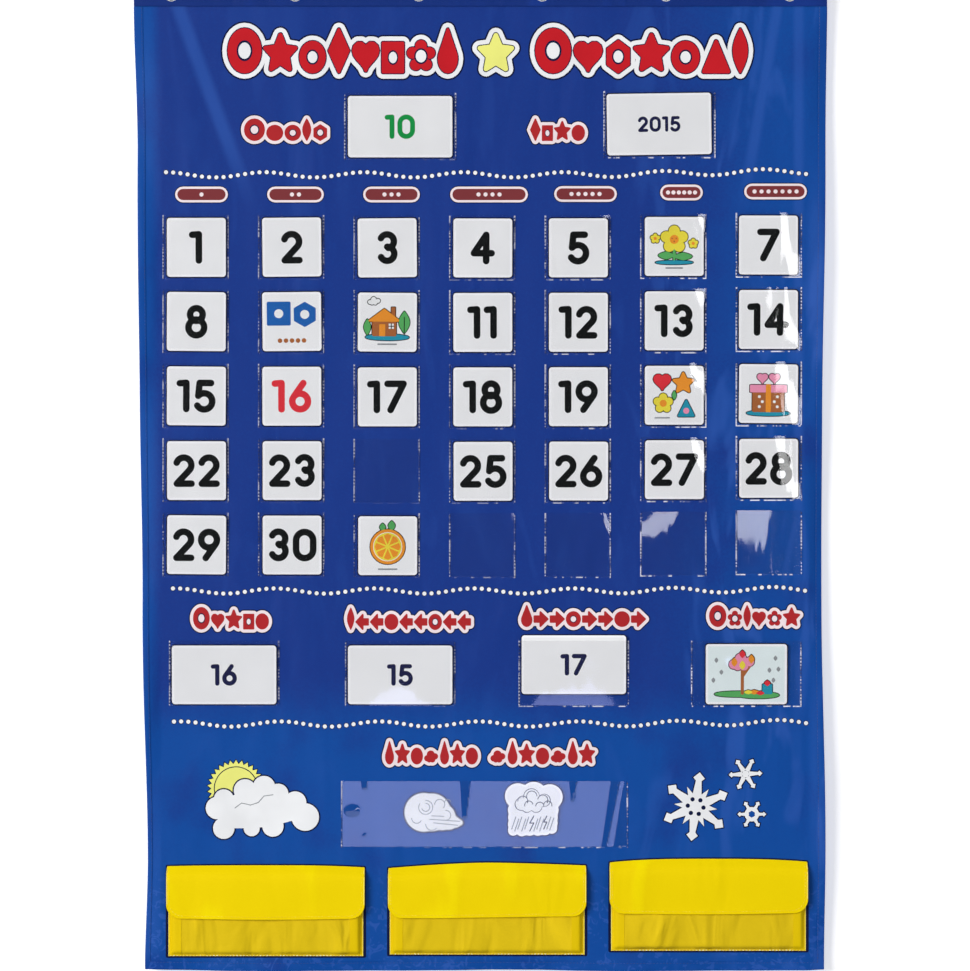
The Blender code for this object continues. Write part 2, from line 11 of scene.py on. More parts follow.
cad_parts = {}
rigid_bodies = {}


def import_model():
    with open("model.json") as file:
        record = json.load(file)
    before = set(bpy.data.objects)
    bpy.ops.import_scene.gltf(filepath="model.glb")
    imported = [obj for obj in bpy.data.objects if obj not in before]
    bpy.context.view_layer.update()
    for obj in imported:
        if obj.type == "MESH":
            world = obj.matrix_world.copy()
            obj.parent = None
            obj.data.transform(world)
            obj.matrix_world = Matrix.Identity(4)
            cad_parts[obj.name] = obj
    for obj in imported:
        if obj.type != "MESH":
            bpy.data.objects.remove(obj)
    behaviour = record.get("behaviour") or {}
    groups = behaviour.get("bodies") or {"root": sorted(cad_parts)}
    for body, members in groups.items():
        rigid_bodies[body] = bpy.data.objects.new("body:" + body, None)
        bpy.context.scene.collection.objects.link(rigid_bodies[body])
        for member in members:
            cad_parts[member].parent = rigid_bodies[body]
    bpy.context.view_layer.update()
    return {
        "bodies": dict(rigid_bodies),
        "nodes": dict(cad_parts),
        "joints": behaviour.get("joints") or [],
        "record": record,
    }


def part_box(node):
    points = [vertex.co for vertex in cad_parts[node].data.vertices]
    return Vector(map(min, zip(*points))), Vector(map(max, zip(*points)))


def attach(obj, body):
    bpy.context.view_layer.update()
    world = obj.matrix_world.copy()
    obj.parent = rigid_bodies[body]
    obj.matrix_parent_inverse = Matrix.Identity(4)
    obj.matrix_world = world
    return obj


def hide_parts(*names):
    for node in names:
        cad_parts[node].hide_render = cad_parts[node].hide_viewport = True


bl_info = {
    "name": "Calendar pocket chart",
    "version": (1, 0, 0),
    "blender": (4, 5, 0),
    "location": "3D View > Sidebar > Pocket chart",
    "description": "Cloth, clear pockets, cards and prints of a hanging calendar chart",
    "category": "Add Mesh",
}

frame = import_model()

# Places taken from the solids
BAND_LOW, BAND_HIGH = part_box("header_band")
CLOTH_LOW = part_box("backing_sheet")[0]
GRID_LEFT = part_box("day_pocket_row_1")[0].x
GRID_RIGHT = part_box("day_pocket_row_1")[1].x
FLAT_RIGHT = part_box("storage_flap_right")[1].x

# The gap between the cloth and what is sewn on it, half the thickness of the cloth, and how far the pockets lean
GAP = 0.0003
CLOTH_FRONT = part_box("day_pocket_row_1")[1].y + GAP
CLOTH_HALF = 0.00025
CLOTH_MIDDLE = CLOTH_FRONT + CLOTH_HALF
LEAN = math.radians(1.8)
FRONT, BACK = Vector((0, -1, 0)), Vector((0, 1, 0))
SIDES = ("left", "middle", "right")
WEAVE = 0.0006

# The chart is laid out on squares of this side, counted right and down from its top left
SQUARE = 0.00105
LEFT_SQUARES = 480.5
TOP_SQUARES = 6

DAY_ROWS = 5
DAY_COLUMNS = 7
DAY_POCKET_WIDTH = 0.0695
DAY_CARD = 0.0635
WIDE_CARD = 0.1113
CARD_THICKNESS = 0.0006

# How much higher the day pockets of a column stand, and the places without a card, with a picture and in red
COLUMN_RISES = (0, 0, -0.0007, -0.0007, -0.0005, 0.001, 0.0024)
EMPTY_PLACES = ((3, 2), (4, 3), (4, 4), (4, 5), (4, 6))
PICTURE_PLACES = ((0, 5), (1, 1), (1, 2), (2, 5), (2, 6), (4, 2))
RED_PLACE = (2, 1)

# How loose the fronts of the empty pockets hang, hollow below zero, and how far they turn to the right
LOOSE_PLACES = {(3, 2): (1.2, 0), (4, 3): (1.2, 0), (4, 4): (1.2, 0), (4, 5): (-0.75, 0.042), (4, 6): (-0.5, 0.014)}

# How far the day cards lie to the right of the middle of their pockets, by column and row, and which ones stand askew
COLUMN_LIES = (0.0009, 0.0008, 0.0007, 0.0006, 0.0006, 0.0009, -0.0006)
ROW_LIES = (0, 0, 0, 0.0003, 0.0006)
ASKEW = {(0, 1): -0.5, (0, 2): -0.5, (1, 0): 0.5, (1, 1): -0.5, (1, 2): 0.5, (2, 0): 0.5, (2, 6): 0.5, (4, 0): 0.5}

# How the side edges hang in, as shares of the drop and of the margins
DROP_SHARES = (0, 0.17, 0.42, 0.63, 0.88, 1)
LEFT_INSET_SHARES = (0, 0.13, 0.21, 0.31, 0.48, 0.38)
RIGHT_INSET_SHARES = (0, 0.07, 0.2, 0.22, 0.08, 0.12)

# Painted highlights along long folds, as lean, offset to the right, half width, where they start to fade and end,
# and strength
FOLD_HIGHLIGHTS = (
    (0.367, -0.3224, 0.012, -0.14, -0.24, 0.5),
    (-0.172, 0.3139, 0.009, -0.15, -0.24, 0.5),
    (0.0, 0.334, 0.008, -0.5, -0.75, 0.45),
    (0.05, -0.2, 0.02, -0.3, -0.5, 0.12),
)


def at(across, down):
    """Place on the chart of a point given in squares, as (x, z)."""
    return (across - LEFT_SQUARES) * SQUARE, -(down + TOP_SQUARES) * SQUARE


def length(name, description, value):
    return FloatProperty(
        name=name, description=description, default=value, min=0, precision=5, subtype="DISTANCE", unit="LENGTH"
    )


def colour(name, description, value):
    return FloatVectorProperty(
        name=name, description=description, default=value, size=3, min=0, max=1, subtype="COLOR"
    )


class ChartSizes(bpy.types.PropertyGroup):
    """Sizes that only change the looks."""

    hem_width: length("Hem width", "Width of the folded hems of the cloth", 0.009)
    hem_height: length("Hem height", "How far a hem stands off the middle of the cloth", 0.0008)
    stitch_pitch: length("Stitch pitch", "Distance from stitch to stitch", 0.0035)
    stitch_length: length("Stitch length", "Length of one stitch that shows", 0.0023)
    thread_width: length("Thread width", "Width of the sewing thread", 0.0006)
    pocket_thread: length("Pocket thread width", "Width of the thread that sews the clear pockets", 0.0011)
    vinyl: length("Vinyl thickness", "Thickness of the clear pockets", 0.0003)
    seam: length("Seam width", "Width of the flat edge of a clear pocket", 0.0011)
    vinyl_swell: length("Vinyl swell", "How far the front of a clear pocket bulges at its mouth", 0.0008)
    vinyl_face: length("Vinyl face", "Width of the faces that a clear pocket is made of", 0.0045)
    card_corner: length("Card corner", "Radius of the corners of a card", 0.0043)
    # Painted shadow: the dark film round a card, and the margin by which it widens the card, stand in for the shade
    # round it.
    card_film: length("Card film", "Width of the clear film that seals the edge of a card", 0.0011)
    card_margin: length("Card margin", "How much the sealed film widens a card", 0.0006)
    card_rim: length("Card rim", "Width of the bright edge round the print of a card", 0.0024)
    digit_stroke: length("Digit stroke", "Width of the strokes of the day numbers", 0.007)
    dot_width: length("Dot width", "Width of the dots in the wavy lines", 0.0044)
    dot_pitch: length("Dot pitch", "Distance from dot to dot", 0.00756)
    film: length("Print thickness", "Thickness of one layer of print", 0.00006)
    flap_corner: length("Flap corner", "Radius of the lower corners of a flap", 0.014)
    binding: length("Binding", "Radius of the bound edge of a flap", 0.0007)
    # Painted shadow: the dark line round a storage pocket stands in for the shade at its edges.
    pocket_line: length("Pocket line", "Width of the dark line round a storage pocket", 0.0036)
    side_band: length("Side band", "Width of the double cloth at the sides of a storage pocket", 0.0132)
    cloth_columns: IntProperty(name="Cloth columns", description="Faces across the cloth", default=120, min=20)
    cloth_rows: IntProperty(name="Cloth rows", description="Faces down the cloth", default=170, min=20)


def sizes():
    """The sizes that are set for this scene."""
    return bpy.context.scene.chart_sizes


class ChartColours(bpy.types.PropertyGroup):
    """Colours of the chart, in linear light."""

    cloth: colour("Cloth", "Blue of the nylon cloth", (0.005, 0.0335, 0.235))
    # Painted sheen: the lighter blue painted where the cloth hangs smooth and catches the light.
    cloth_light: colour("Cloth, smooth parts", "Blue of the parts that hang smooth", (0.001, 0.066, 0.33))
    # Painted highlight: the blue painted on creases and folds where they catch the light.
    cloth_crease: colour("Cloth, creases", "Blue of the creases that catch the light", (0.025, 0.1, 0.43))
    yellow: colour("Pocket yellow", "Yellow of the single cloth of the storage pockets", (0.74, 0.525, 0.009))
    yellow_band: colour("Band yellow", "Yellow where the cloth of a storage pocket is double", (0.8, 0.565, 0.003))
    flap: colour("Flap yellow", "Yellow of the flaps", (0.9, 0.67, 0.001))
    binding: colour("Binding yellow", "Yellow of the bound edges of the flaps", (0.95, 0.78, 0.12))
    red: colour("Red", "Red of the large shapes", (0.56, 0.012, 0.02))
    dark_red: colour("Dark red", "Red of the labels", (0.43, 0.022, 0.026))
    maroon: colour("Maroon", "Brown red of the day labels", (0.2, 0.035, 0.04))
    pale: colour("White ink", "White of the outlines and dots", (0.86, 0.87, 0.88))
    pink: colour("Pink white ink", "Outline of the labels", (0.88, 0.76, 0.78))
    navy: colour("Navy", "Dark blue lines round the prints", (0.004, 0.008, 0.045))
    lime: colour("Pale yellow", "Pale yellow green of the sun and the middle shape", (0.88, 0.88, 0.22))
    black: colour("Black", "Black of the day numbers", (0.003, 0.004, 0.004))
    digit_red: colour("Number red", "Red of the one red number", (0.75, 0.035, 0.05))
    green: colour("Green", "Green of the month number", (0.008, 0.3, 0.06))
    ink_blue: colour("Ink blue", "Navy of the numbers on the wide cards", (0.012, 0.014, 0.06))
    card: colour("Card", "Face of the cards", (0.885, 0.89, 0.89))
    card_mint: colour("Mint card", "Face of the season card", (0.79, 0.89, 0.88))
    card_edge: colour("Card edge", "Bright edge of the cards", (0.97, 0.97, 0.98))
    # Painted glint colour of the pocket thread, over its own dark navy.
    thread: colour("Thread", "Pale thread of the pockets", (0.72, 0.74, 0.9))


# Node trees


def fill(made, **inputs):
    """Sets a node's inputs, by name or by number: a socket is joined and anything else is a value."""
    for name, value in inputs.items():
        socket = made.inputs[int(name[1:])] if name[1:].isdigit() else made.inputs[name.replace("_", " ")]
        if isinstance(value, bpy.types.NodeSocket):
            made.id_data.links.new(value, socket)
        else:
            socket.default_value = value
    return made


def node(tree, kind, **inputs):
    """A shader node of a kind, with its inputs set."""
    return fill(tree.nodes.new("ShaderNode" + kind), **inputs)


def maths(tree, operation, *terms):
    """The result of an operation on sockets and values."""
    made = node(tree, "Math", **{f"_{index}": term for index, term in enumerate(terms)})
    made.operation = operation
    return made.outputs[0]


def noise_in(tree, place, scale, detail=2.0, **more):
    """Smooth noise over a place."""
    return node(tree, "TexNoise", Vector=place, Scale=scale, Detail=detail, **more).outputs["Fac"]


def object_place(tree):
    """The place in metres, and how far across and up it lies."""
    place = node(tree, "TexCoord").outputs["Object"]
    split = node(tree, "SeparateXYZ", Vector=place)
    return place, split.outputs["X"], split.outputs["Z"]


def ramp(tree, value, low, high, start=0.0, end=1.0):
    """A smooth step from start to end while a value goes from low to high."""
    made = node(tree, "MapRange", Value=value, From_Min=low, From_Max=high, To_Min=start, To_Max=end)
    made.interpolation_type = "SMOOTHSTEP"
    return made.outputs["Result"]


def new_group(name, inputs, outputs):
    """An empty node group with float sockets, its input node and its output node."""
    tree = bpy.data.node_groups.new(name, "ShaderNodeTree")
    for label, value in inputs.items():
        socket = tree.interface.new_socket(label, in_out="INPUT", socket_type="NodeSocketFloat")
        socket.default_value = value
    for label in outputs:
        tree.interface.new_socket(label, in_out="OUTPUT", socket_type="NodeSocketFloat")
    return tree, tree.nodes.new("NodeGroupInput"), tree.nodes.new("NodeGroupOutput")


def woven_threads():
    """Height of a plain weave and the uneven tone of its threads."""
    tree, given, out = new_group("Woven threads", {"Pitch": WEAVE}, ("Height", "Tone"))
    place, across, up = object_place(tree)
    waves = []
    for way in (across, up):
        turns = maths(tree, "DIVIDE", way, given.outputs["Pitch"])
        waves.append(maths(tree, "SINE", maths(tree, "MULTIPLY", turns, 2 * math.pi)))
    height = maths(tree, "MULTIPLY_ADD", maths(tree, "MULTIPLY", *waves), 0.5, 0.5)
    fill(out, Height=height, Tone=noise_in(tree, place, 420.0, 3.0))
    return tree


def soft_creases():
    """Height of the soft creases of hung cloth or film, and a mask of their crests, where a cloth gets a painted
    highlight.
    """
    tree, given, out = new_group("Soft creases", {"Size": 0.05, "Bend": 0.8}, ("Height", "Streak"))
    place = node(tree, "TexCoord").outputs["Object"]
    turned = node(tree, "Mapping", Vector=place, Rotation=(0, math.radians(-14), 0), Scale=(1, 1, 0.32))
    scale = maths(tree, "DIVIDE", 1.0, given.outputs["Size"])
    creases = noise_in(tree, turned.outputs[0], scale, Roughness=0.4, Distortion=given.outputs["Bend"])
    fill(out, Height=creases, Streak=ramp(tree, creases, 0.5, 0.72))
    return tree


def hung_cloth():
    """Masks of where a sheen and where highlights of folds and wrinkles are painted on the hung cloth."""
    tree, _, out = new_group("Hung cloth", {}, ("Smooth", "Folds"))
    place, across, up = object_place(tree)
    # Painted sheen: lighter towards the bottom, the left margin and the right, in random patches.
    lower = ramp(tree, up, -0.71, -0.79)
    margin = ramp(tree, across, -0.333, -0.35)
    patchy = ramp(tree, noise_in(tree, place, 11.0), 0.2, 0.5)
    painted_sheen = maths(tree, "MAXIMUM", maths(tree, "MAXIMUM", lower, margin), ramp(tree, across, 0.15, 0.34, 0.0, 0.9))
    # Painted highlights along the long folds.
    fold_highlights = None
    for lean, offset, width, start, end, strength in FOLD_HIGHLIGHTS:
        leaning = maths(tree, "ADD", across, maths(tree, "MULTIPLY", up, lean))
        aside = maths(tree, "SUBTRACT", leaning, offset)
        line = ramp(tree, maths(tree, "ABSOLUTE", aside), width, width * 0.2, 0.0, strength)
        line = maths(tree, "MULTIPLY", line, ramp(tree, up, end, start))
        fold_highlights = line if fold_highlights is None else maths(tree, "MAXIMUM", fold_highlights, line)
    # Painted highlights of slack creases on the right and of small wrinkles near the bottom hem.
    slack = node(tree, "Mapping", Vector=place, Rotation=(0, math.radians(18), 0), Scale=(1, 1, 0.3))
    creases = ramp(tree, noise_in(tree, slack.outputs[0], 24.0, Distortion=1.2), 0.52, 0.7)
    right = maths(tree, "MULTIPLY", creases, ramp(tree, across, 0.1, 0.3, 0.1, 0.6))
    small = ramp(tree, noise_in(tree, place, 75.0, Distortion=2.0), 0.54, 0.64)
    hem = maths(tree, "MULTIPLY", small, ramp(tree, up, -0.905, -0.96, 0.0, 0.6))
    wrinkle_highlights = maths(tree, "MAXIMUM", right, hem)
    fill(out, Smooth=maths(tree, "MULTIPLY", painted_sheen, patchy), Folds=maths(tree, "MAXIMUM", fold_highlights, wrinkle_highlights))
    return tree


def fine_grain():
    """Fine uneven height and tone of print, card or metal."""
    tree, given, out = new_group("Fine grain", {"Size": 0.001}, ("Height", "Tone"))
    place = node(tree, "TexCoord").outputs["Object"]
    scale = maths(tree, "DIVIDE", 1.0, given.outputs["Size"])
    fill(out, Height=noise_in(tree, place, scale, 4.0), Tone=noise_in(tree, place, 28.0))
    return tree


def use_group(tree, maker, **inputs):
    """A group node of one of the shared effects, which is made the first time."""
    shared = bpy.data.node_groups.get(maker.__name__.replace("_", " ").capitalize()) or maker()
    made = tree.nodes.new("ShaderNodeGroup")
    made.node_tree = shared
    return fill(made, **inputs)


def new_material(name):
    """A material, its node tree and its Principled shader."""
    made = bpy.data.materials.new(name)
    made.use_nodes = True
    return made, made.node_tree, made.node_tree.nodes["Principled BSDF"]


def two_colours(tree, low, high, share):
    """A mix of two colours, each a socket or three channels, by a share."""
    mixed = node(tree, "Mix", Factor=share)
    mixed.data_type = "RGBA"
    low, high = (value if isinstance(value, bpy.types.NodeSocket) else (*value, 1) for value in (low, high))
    return fill(mixed, _6=low, _7=high).outputs[2]


def darker(value, share):
    """A colour with its channels at a share, which brightens it above one."""
    return tuple(channel * share for channel in value)


def relief(tree, *layers):
    """The normal of a bumpy surface, from one or two layers, each as (height, depth in metres)."""
    heights = [maths(tree, "MULTIPLY", height, depth) for height, depth in layers]
    whole = maths(tree, "ADD", *heights) if len(heights) > 1 else heights[0]
    return node(tree, "Bump", Height=whole, Distance=1.0).outputs[0]


def mix_shaders(tree, share, first, second):
    """Gives a material its first shader, and the second one by a share."""
    mixed = node(tree, "MixShader", _0=share, _1=first.outputs[0], _2=second.outputs[0])
    fill(tree.nodes["Material Output"], Surface=mixed.outputs[0])


def woven_finish(tree, shader, creases, crease_depth, gloss):
    """Sets the weave, the soft creases and the sheen of nylon, and gives how worn its colour is."""
    weave = use_group(tree, woven_threads, Pitch=WEAVE)
    normal = relief(tree, (creases.outputs["Height"], crease_depth), (weave.outputs["Height"], 0.00005))
    fill(shader, Normal=normal, Roughness=0.5, Specular_IOR_Level=gloss)
    return maths(tree, "MULTIPLY", maths(tree, "SUBTRACT", weave.outputs["Tone"], 0.5), 0.7)


def cloth_material(name, plain, lit, crease_size, crease_depth, gloss):
    """Woven nylon with soft creases, whose crests get a painted highlight in the lit colour."""
    made, tree, shader = new_material(name)
    creases = use_group(tree, soft_creases, Size=crease_size, Bend=0.9)
    worn = woven_finish(tree, shader, creases, crease_depth, gloss)
    # Random tone of the weave, plus the painted highlight on the crease crests.
    share = maths(tree, "ADD", worn, creases.outputs["Streak"])
    fill(shader, Base_Color=two_colours(tree, plain, lit, share))
    return made


def hung_cloth_material(name, plain, smooth, crease):
    """The blue nylon of the chart, with a painted sheen where it hangs smooth and painted highlights on its folds and
    wrinkles.
    """
    made, tree, shader = new_material(name)
    worn = woven_finish(tree, shader, use_group(tree, soft_creases, Size=0.075, Bend=0.9), 0.004, 0.12)
    light_masks = use_group(tree, hung_cloth)
    # smooth is the colour of the painted sheen, crease that of the painted highlights.
    painted_sheen = two_colours(tree, plain, smooth, maths(tree, "ADD", light_masks.outputs["Smooth"], worn))
    fill(shader, Base_Color=two_colours(tree, painted_sheen, crease, light_masks.outputs["Folds"]))
    return made


def ink_material(name, value, on_cloth):
    """Print: even colour with a fine grain, over the weave of the cloth or flat on card."""
    made, tree, shader = new_material(name)
    grain = use_group(tree, fine_grain, Size=0.0009)
    inked = two_colours(tree, darker(value, 0.86), darker(value, 1.12), grain.outputs["Tone"])
    layer = (grain.outputs["Height"], 0.00001)
    if on_cloth:
        layer = (use_group(tree, woven_threads, Pitch=WEAVE).outputs["Height"], 0.00004)
    fill(shader, Base_Color=inked, Normal=relief(tree, layer), Roughness=0.5, Specular_IOR_Level=0.06)
    return made


def card_material(name, value):
    """Laminated card: a slightly uneven white under a satin film."""
    made, tree, shader = new_material(name)
    grain = use_group(tree, fine_grain, Size=0.0007)
    film = use_group(tree, soft_creases, Size=0.02, Bend=0.4)
    white = two_colours(tree, darker(value, 0.94), darker(value, 1.05), grain.outputs["Tone"])
    normal = relief(tree, (grain.outputs["Height"], 0.00001), (film.outputs["Height"], 0.00025))
    fill(shader, Base_Color=white, Normal=normal, Roughness=0.35, Specular_IOR_Level=0.2)
    return made


def vinyl_material(name):
    """Clear soft vinyl that lets the light of lamps reach what is behind it."""
    made, tree, shader = new_material(name)
    tint = (0.96, 0.96, 0.965, 1)
    normal = relief(tree, (use_group(tree, soft_creases, Size=0.03, Bend=0.5).outputs["Height"], 0.0002))
    fill(shader, Base_Color=tint, Normal=normal, Roughness=0.03, IOR=1.45, Transmission_Weight=1)
    light = node(tree, "LightPath").outputs
    passed = maths(tree, "MAXIMUM", light["Is Shadow Ray"], light["Is Diffuse Ray"])
    mix_shaders(tree, passed, shader, node(tree, "BsdfTransparent", Color=tint))
    return made


def film_material(name, low, high, size, share_of):
    """A painted glint on a pressed seam, or the painted shadow round a card: a film whose cover is share_of(tree,
    waves).
    """
    made, tree, shader = new_material(name)
    waves = use_group(tree, soft_creases, Size=size, Bend=1.4).outputs["Height"]
    tone = use_group(tree, fine_grain, Size=0.002).outputs["Tone"]
    fill(shader, Base_Color=two_colours(tree, low, high, tone), Alpha=share_of(tree, waves))
    fill(shader, Normal=relief(tree, (waves, 0.0004)), Roughness=0.25, Specular_IOR_Level=0.2)
    return made


def towards_right(tree, least):
    """How much painted glint a seam or thread shows: more towards the right, where the light falls on it."""
    return ramp(tree, object_place(tree)[1], -0.1, 0.28, least, 1.0)


def seam_cover(tree, waves):
    """A welded seam gets a painted white glint only in short runs."""
    return maths(tree, "MULTIPLY", ramp(tree, waves, 0.46, 0.56), towards_right(tree, 0.5))


def low_seam_cover(tree, waves):
    """The bottom seam gets a painted glint only where the light falls on it."""
    return maths(tree, "MULTIPLY", ramp(tree, waves, 0.5, 0.62), towards_right(tree, 0.02))


def card_film_cover(tree, waves):
    """The painted shadow round a card covers nearly all, a little unevenly."""
    return ramp(tree, waves, 0.3, 0.7, 0.8, 0.95)


def thread_material(name, bright, dull, spread=None):
    """Sewing thread with a painted highlight, its bright colour, on stitches here and there."""
    made, tree, shader = new_material(name)
    grain = use_group(tree, fine_grain, Size=0.009)
    share = ramp(tree, grain.outputs["Height"], 0.48, 0.6)
    if spread:
        share = maths(tree, "MULTIPLY", share, towards_right(tree, spread))
    fill(shader, Base_Color=two_colours(tree, dull, bright, share), Roughness=0.4)
    return made


def metal_material(name):
    """Plated metal with a roughness that varies finely."""
    made, tree, shader = new_material(name)
    grain = use_group(tree, fine_grain, Size=0.0012)
    plated = two_colours(tree, (0.6, 0.6, 0.57), (0.8, 0.8, 0.77), grain.outputs["Tone"])
    rough = node(tree, "MapRange", Value=grain.outputs["Height"], To_Min=0.18, To_Max=0.4)
    fill(shader, Base_Color=plated, Roughness=rough.outputs["Result"], Metallic=1)
    return made


def finish(name):
    """The material of this name, made when it is first asked for."""
    found = bpy.data.materials.get(name)
    if found:
        return found
    tint = bpy.context.scene.chart_colours
    yellow, band, flap, blue = tint.yellow, tint.yellow_band, tint.flap, tint.cloth
    # Colours of the painted seam glints of the clear pockets, and of the painted shadow round the cards.
    seam_glint, card_film = ((0.72, 0.74, 0.9), (0.92, 0.93, 0.98)), ((0.002, 0.004, 0.03), (0.006, 0.012, 0.07))
    makers = {
        # For each cloth the second colour is painted light: a painted sheen on the hung blue cloth, whose third colour
        # is a painted highlight, and a painted crease highlight on the others.
        "Blue nylon": (hung_cloth_material, blue, tint.cloth_light, tint.cloth_crease),
        "Blue hem": (hung_cloth_material, darker(blue, 1.1), tint.cloth_light, tint.cloth_crease),
        "Blue header": (cloth_material, darker(blue, 0.8), blue, 0.04, 0.002, 0.1),
        "Yellow nylon": (cloth_material, yellow, darker(yellow, 1.14), 0.03, 0.008, 0.03),
        "Yellow band": (cloth_material, band, darker(band, 1.05), 0.05, 0.002, 0.03),
        "Flap nylon": (cloth_material, flap, (0.96, 0.77, 0.001), 0.06, 0.003, 0.03),
        "Flap binding": (cloth_material, tint.binding, darker(tint.binding, 1.1), 0.02, 0.0004, 0.1),
        "Card face": (card_material, tint.card),
        "Mint card face": (card_material, tint.card_mint),
        "Card edge": (card_material, tint.card_edge),
        "Card film": (film_material, *card_film, 0.02, card_film_cover),
        "Clear vinyl": (vinyl_material,),
        "Vinyl seam": (film_material, *seam_glint, 0.012, seam_cover),
        "Low seam": (film_material, *seam_glint, 0.012, low_seam_cover),
        "Pocket thread": (thread_material, tint.thread, (0.006, 0.02, 0.12), 0.5),
        "Blue thread": (thread_material, (0.01, 0.055, 0.3), (0.005, 0.025, 0.15)),
        "Yellow thread": (thread_material, (0.95, 0.76, 0.06), (0.84, 0.6, 0.01)),
        "Cream thread": (thread_material, (0.95, 0.9, 0.55), (0.85, 0.66, 0.12)),
        "Plated metal": (metal_material,),
    }
    inks = {
        "Red ink": tint.red, "Dark red ink": tint.dark_red, "Maroon ink": tint.maroon, "White ink": tint.pale,
        "Pink ink": tint.pink, "Navy ink": tint.navy, "Pale yellow ink": tint.lime,
    }
    card_inks = {
        "Black print": tint.black, "Red print": tint.digit_red, "Green print": tint.green,
        "Blue print": tint.ink_blue, "Yellow print": (0.85, 0.72, 0.06), "Orange print": (0.85, 0.3, 0.03),
        "Leaf print": (0.1, 0.42, 0.12), "Teal print": (0.02, 0.3, 0.42), "Pink print": (0.85, 0.3, 0.45),
        "Brown print": (0.4, 0.13, 0.04), "Sky print": (0.015, 0.12, 0.42), "Grey print": (0.3, 0.32, 0.33),
        "Paper print": (0.86, 0.87, 0.86),
    }
    if name in makers:
        maker, *given = makers[name]
        return maker(name, *given)
    return ink_material(name, inks[name] if name in inks else card_inks[name], name in inks)


# Meshes


def mesh_of(name, bm):
    """A mesh made from a bmesh, which is freed."""
    mesh = bpy.data.meshes.new(name)
    bm.to_mesh(mesh)
    bm.free()
    return mesh


def add_object(name, data):
    """An object with its data, in the scene."""
    made = bpy.data.objects.new(name, data)
    bpy.context.scene.collection.objects.link(made)
    return made


def add_piece(name, bm, finishes, body="root", replaced=(), smooth=40):
    """An object from a bmesh, with its place in its mesh, riding on a body."""
    mesh = mesh_of(name, bm)
    for wanted in finishes:
        mesh.materials.append(finish(wanted))
    mesh.polygons.foreach_set("use_smooth", [True] * len(mesh.polygons))
    mesh.set_sharp_from_angle(angle=math.radians(smooth))
    piece = add_object(name, mesh)
    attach(piece, body)
    if replaced:
        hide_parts(*replaced)
    return piece


def pour(source, target, matrix=None, finish_index=None):
    """Adds one bmesh to another, moved and with its faces given a material index."""
    if matrix is not None:
        source.transform(matrix)
    if finish_index is not None:
        for face in source.faces:
            face.material_index = finish_index
    mesh = mesh_of("poured", source)
    target.from_mesh(mesh)
    bpy.data.meshes.remove(mesh)


def lofted(columns, rows, place):
    """A sheet facing the front, with a point of place(u, v) for each of its columns and rows."""
    bm = bmesh.new()
    bmesh.ops.create_grid(bm, x_segments=columns, y_segments=rows, size=0.5)
    for vertex in bm.verts:
        vertex.co = place(vertex.co.x + 0.5, vertex.co.y + 0.5)
    return bm


def lined(across, up, place):
    """A sheet facing the front over uneven lines, with a point of place(x, z) at each crossing."""
    columns, rows = len(across) - 1, len(up) - 1

    def point(u, v):
        return place(across[round(u * columns)], up[round(v * rows)])

    return lofted(columns, rows, point)


def thicken(bm, thickness, outward=FRONT):
    """Turns a sheet to face outward, gives it a wall on its other side, and closes its rim."""
    bmesh.ops.recalc_face_normals(bm, faces=bm.faces)
    if sum(face.normal.dot(outward) * face.calc_area() for face in bm.faces) < 0:
        bmesh.ops.reverse_faces(bm, faces=bm.faces)
    bmesh.ops.solidify(bm, geom=bm.faces[:], thickness=thickness)
    bmesh.ops.recalc_face_normals(bm, faces=bm.faces)


def pull(bm, made, offset):
    """Moves the points that an extrusion made."""
    moved = [item for item in made["geom"] if isinstance(item, bmesh.types.BMVert)]
    bmesh.ops.translate(bm, verts=moved, vec=offset)


def turn_round(bm, geom, centre, count):
    """Turns a profile once round the line that runs from front to back through a centre."""
    bmesh.ops.spin(bm, geom=geom, cent=centre, axis=BACK, angle=2 * math.pi, steps=count, use_merge=True)


def ease(share):
    share = min(max(share, 0), 1)
    return share * share * (3 - 2 * share)


def eased(shares, values, share):
    """A smooth run through values that are reached at rising shares."""
    for low, high, start, end in zip(shares, shares[1:], values, values[1:]):
        if share <= high:
            return start + (end - start) * ease((share - low) / (high - low))
    return values[-1]


def steps(start, end, count):
    """Evenly spaced numbers from start to end, both included."""
    return [start + (end - start) * index / count for index in range(count + 1)]


def thread_mesh(width):
    """One stitch: a small round hump of thread along X."""
    bm = bmesh.new()
    bmesh.ops.create_uvsphere(bm, u_segments=6, v_segments=4, radius=0.5)
    bmesh.ops.rotate(bm, verts=bm.verts, matrix=Matrix.Rotation(math.pi / 2, 3, "Y"))
    bmesh.ops.scale(bm, verts=bm.verts, vec=(sizes().stitch_length, width, width))
    return mesh_of("stitch", bm)


def sew(bm, points, width=None):
    """Stitches along a run of points, laid a pitch apart."""
    size = sizes()
    stitch = thread_mesh(width or size.thread_width)
    carried = size.stitch_pitch / 2
    for start, end in zip(points, points[1:]):
        start, end = Vector(start), Vector(end)
        run = (end - start).length
        if run < size.thread_width:
            continue
        turn = Vector((1, 0, 0)).rotation_difference(end - start).to_matrix().to_4x4()
        place = carried
        while place < run:
            copy = stitch.copy()
            copy.transform(Matrix.Translation(start.lerp(end, place / run)) @ turn)
            bm.from_mesh(copy)
            bpy.data.meshes.remove(copy)
            place += size.stitch_pitch
        carried = place - run
    bpy.data.meshes.remove(stitch)


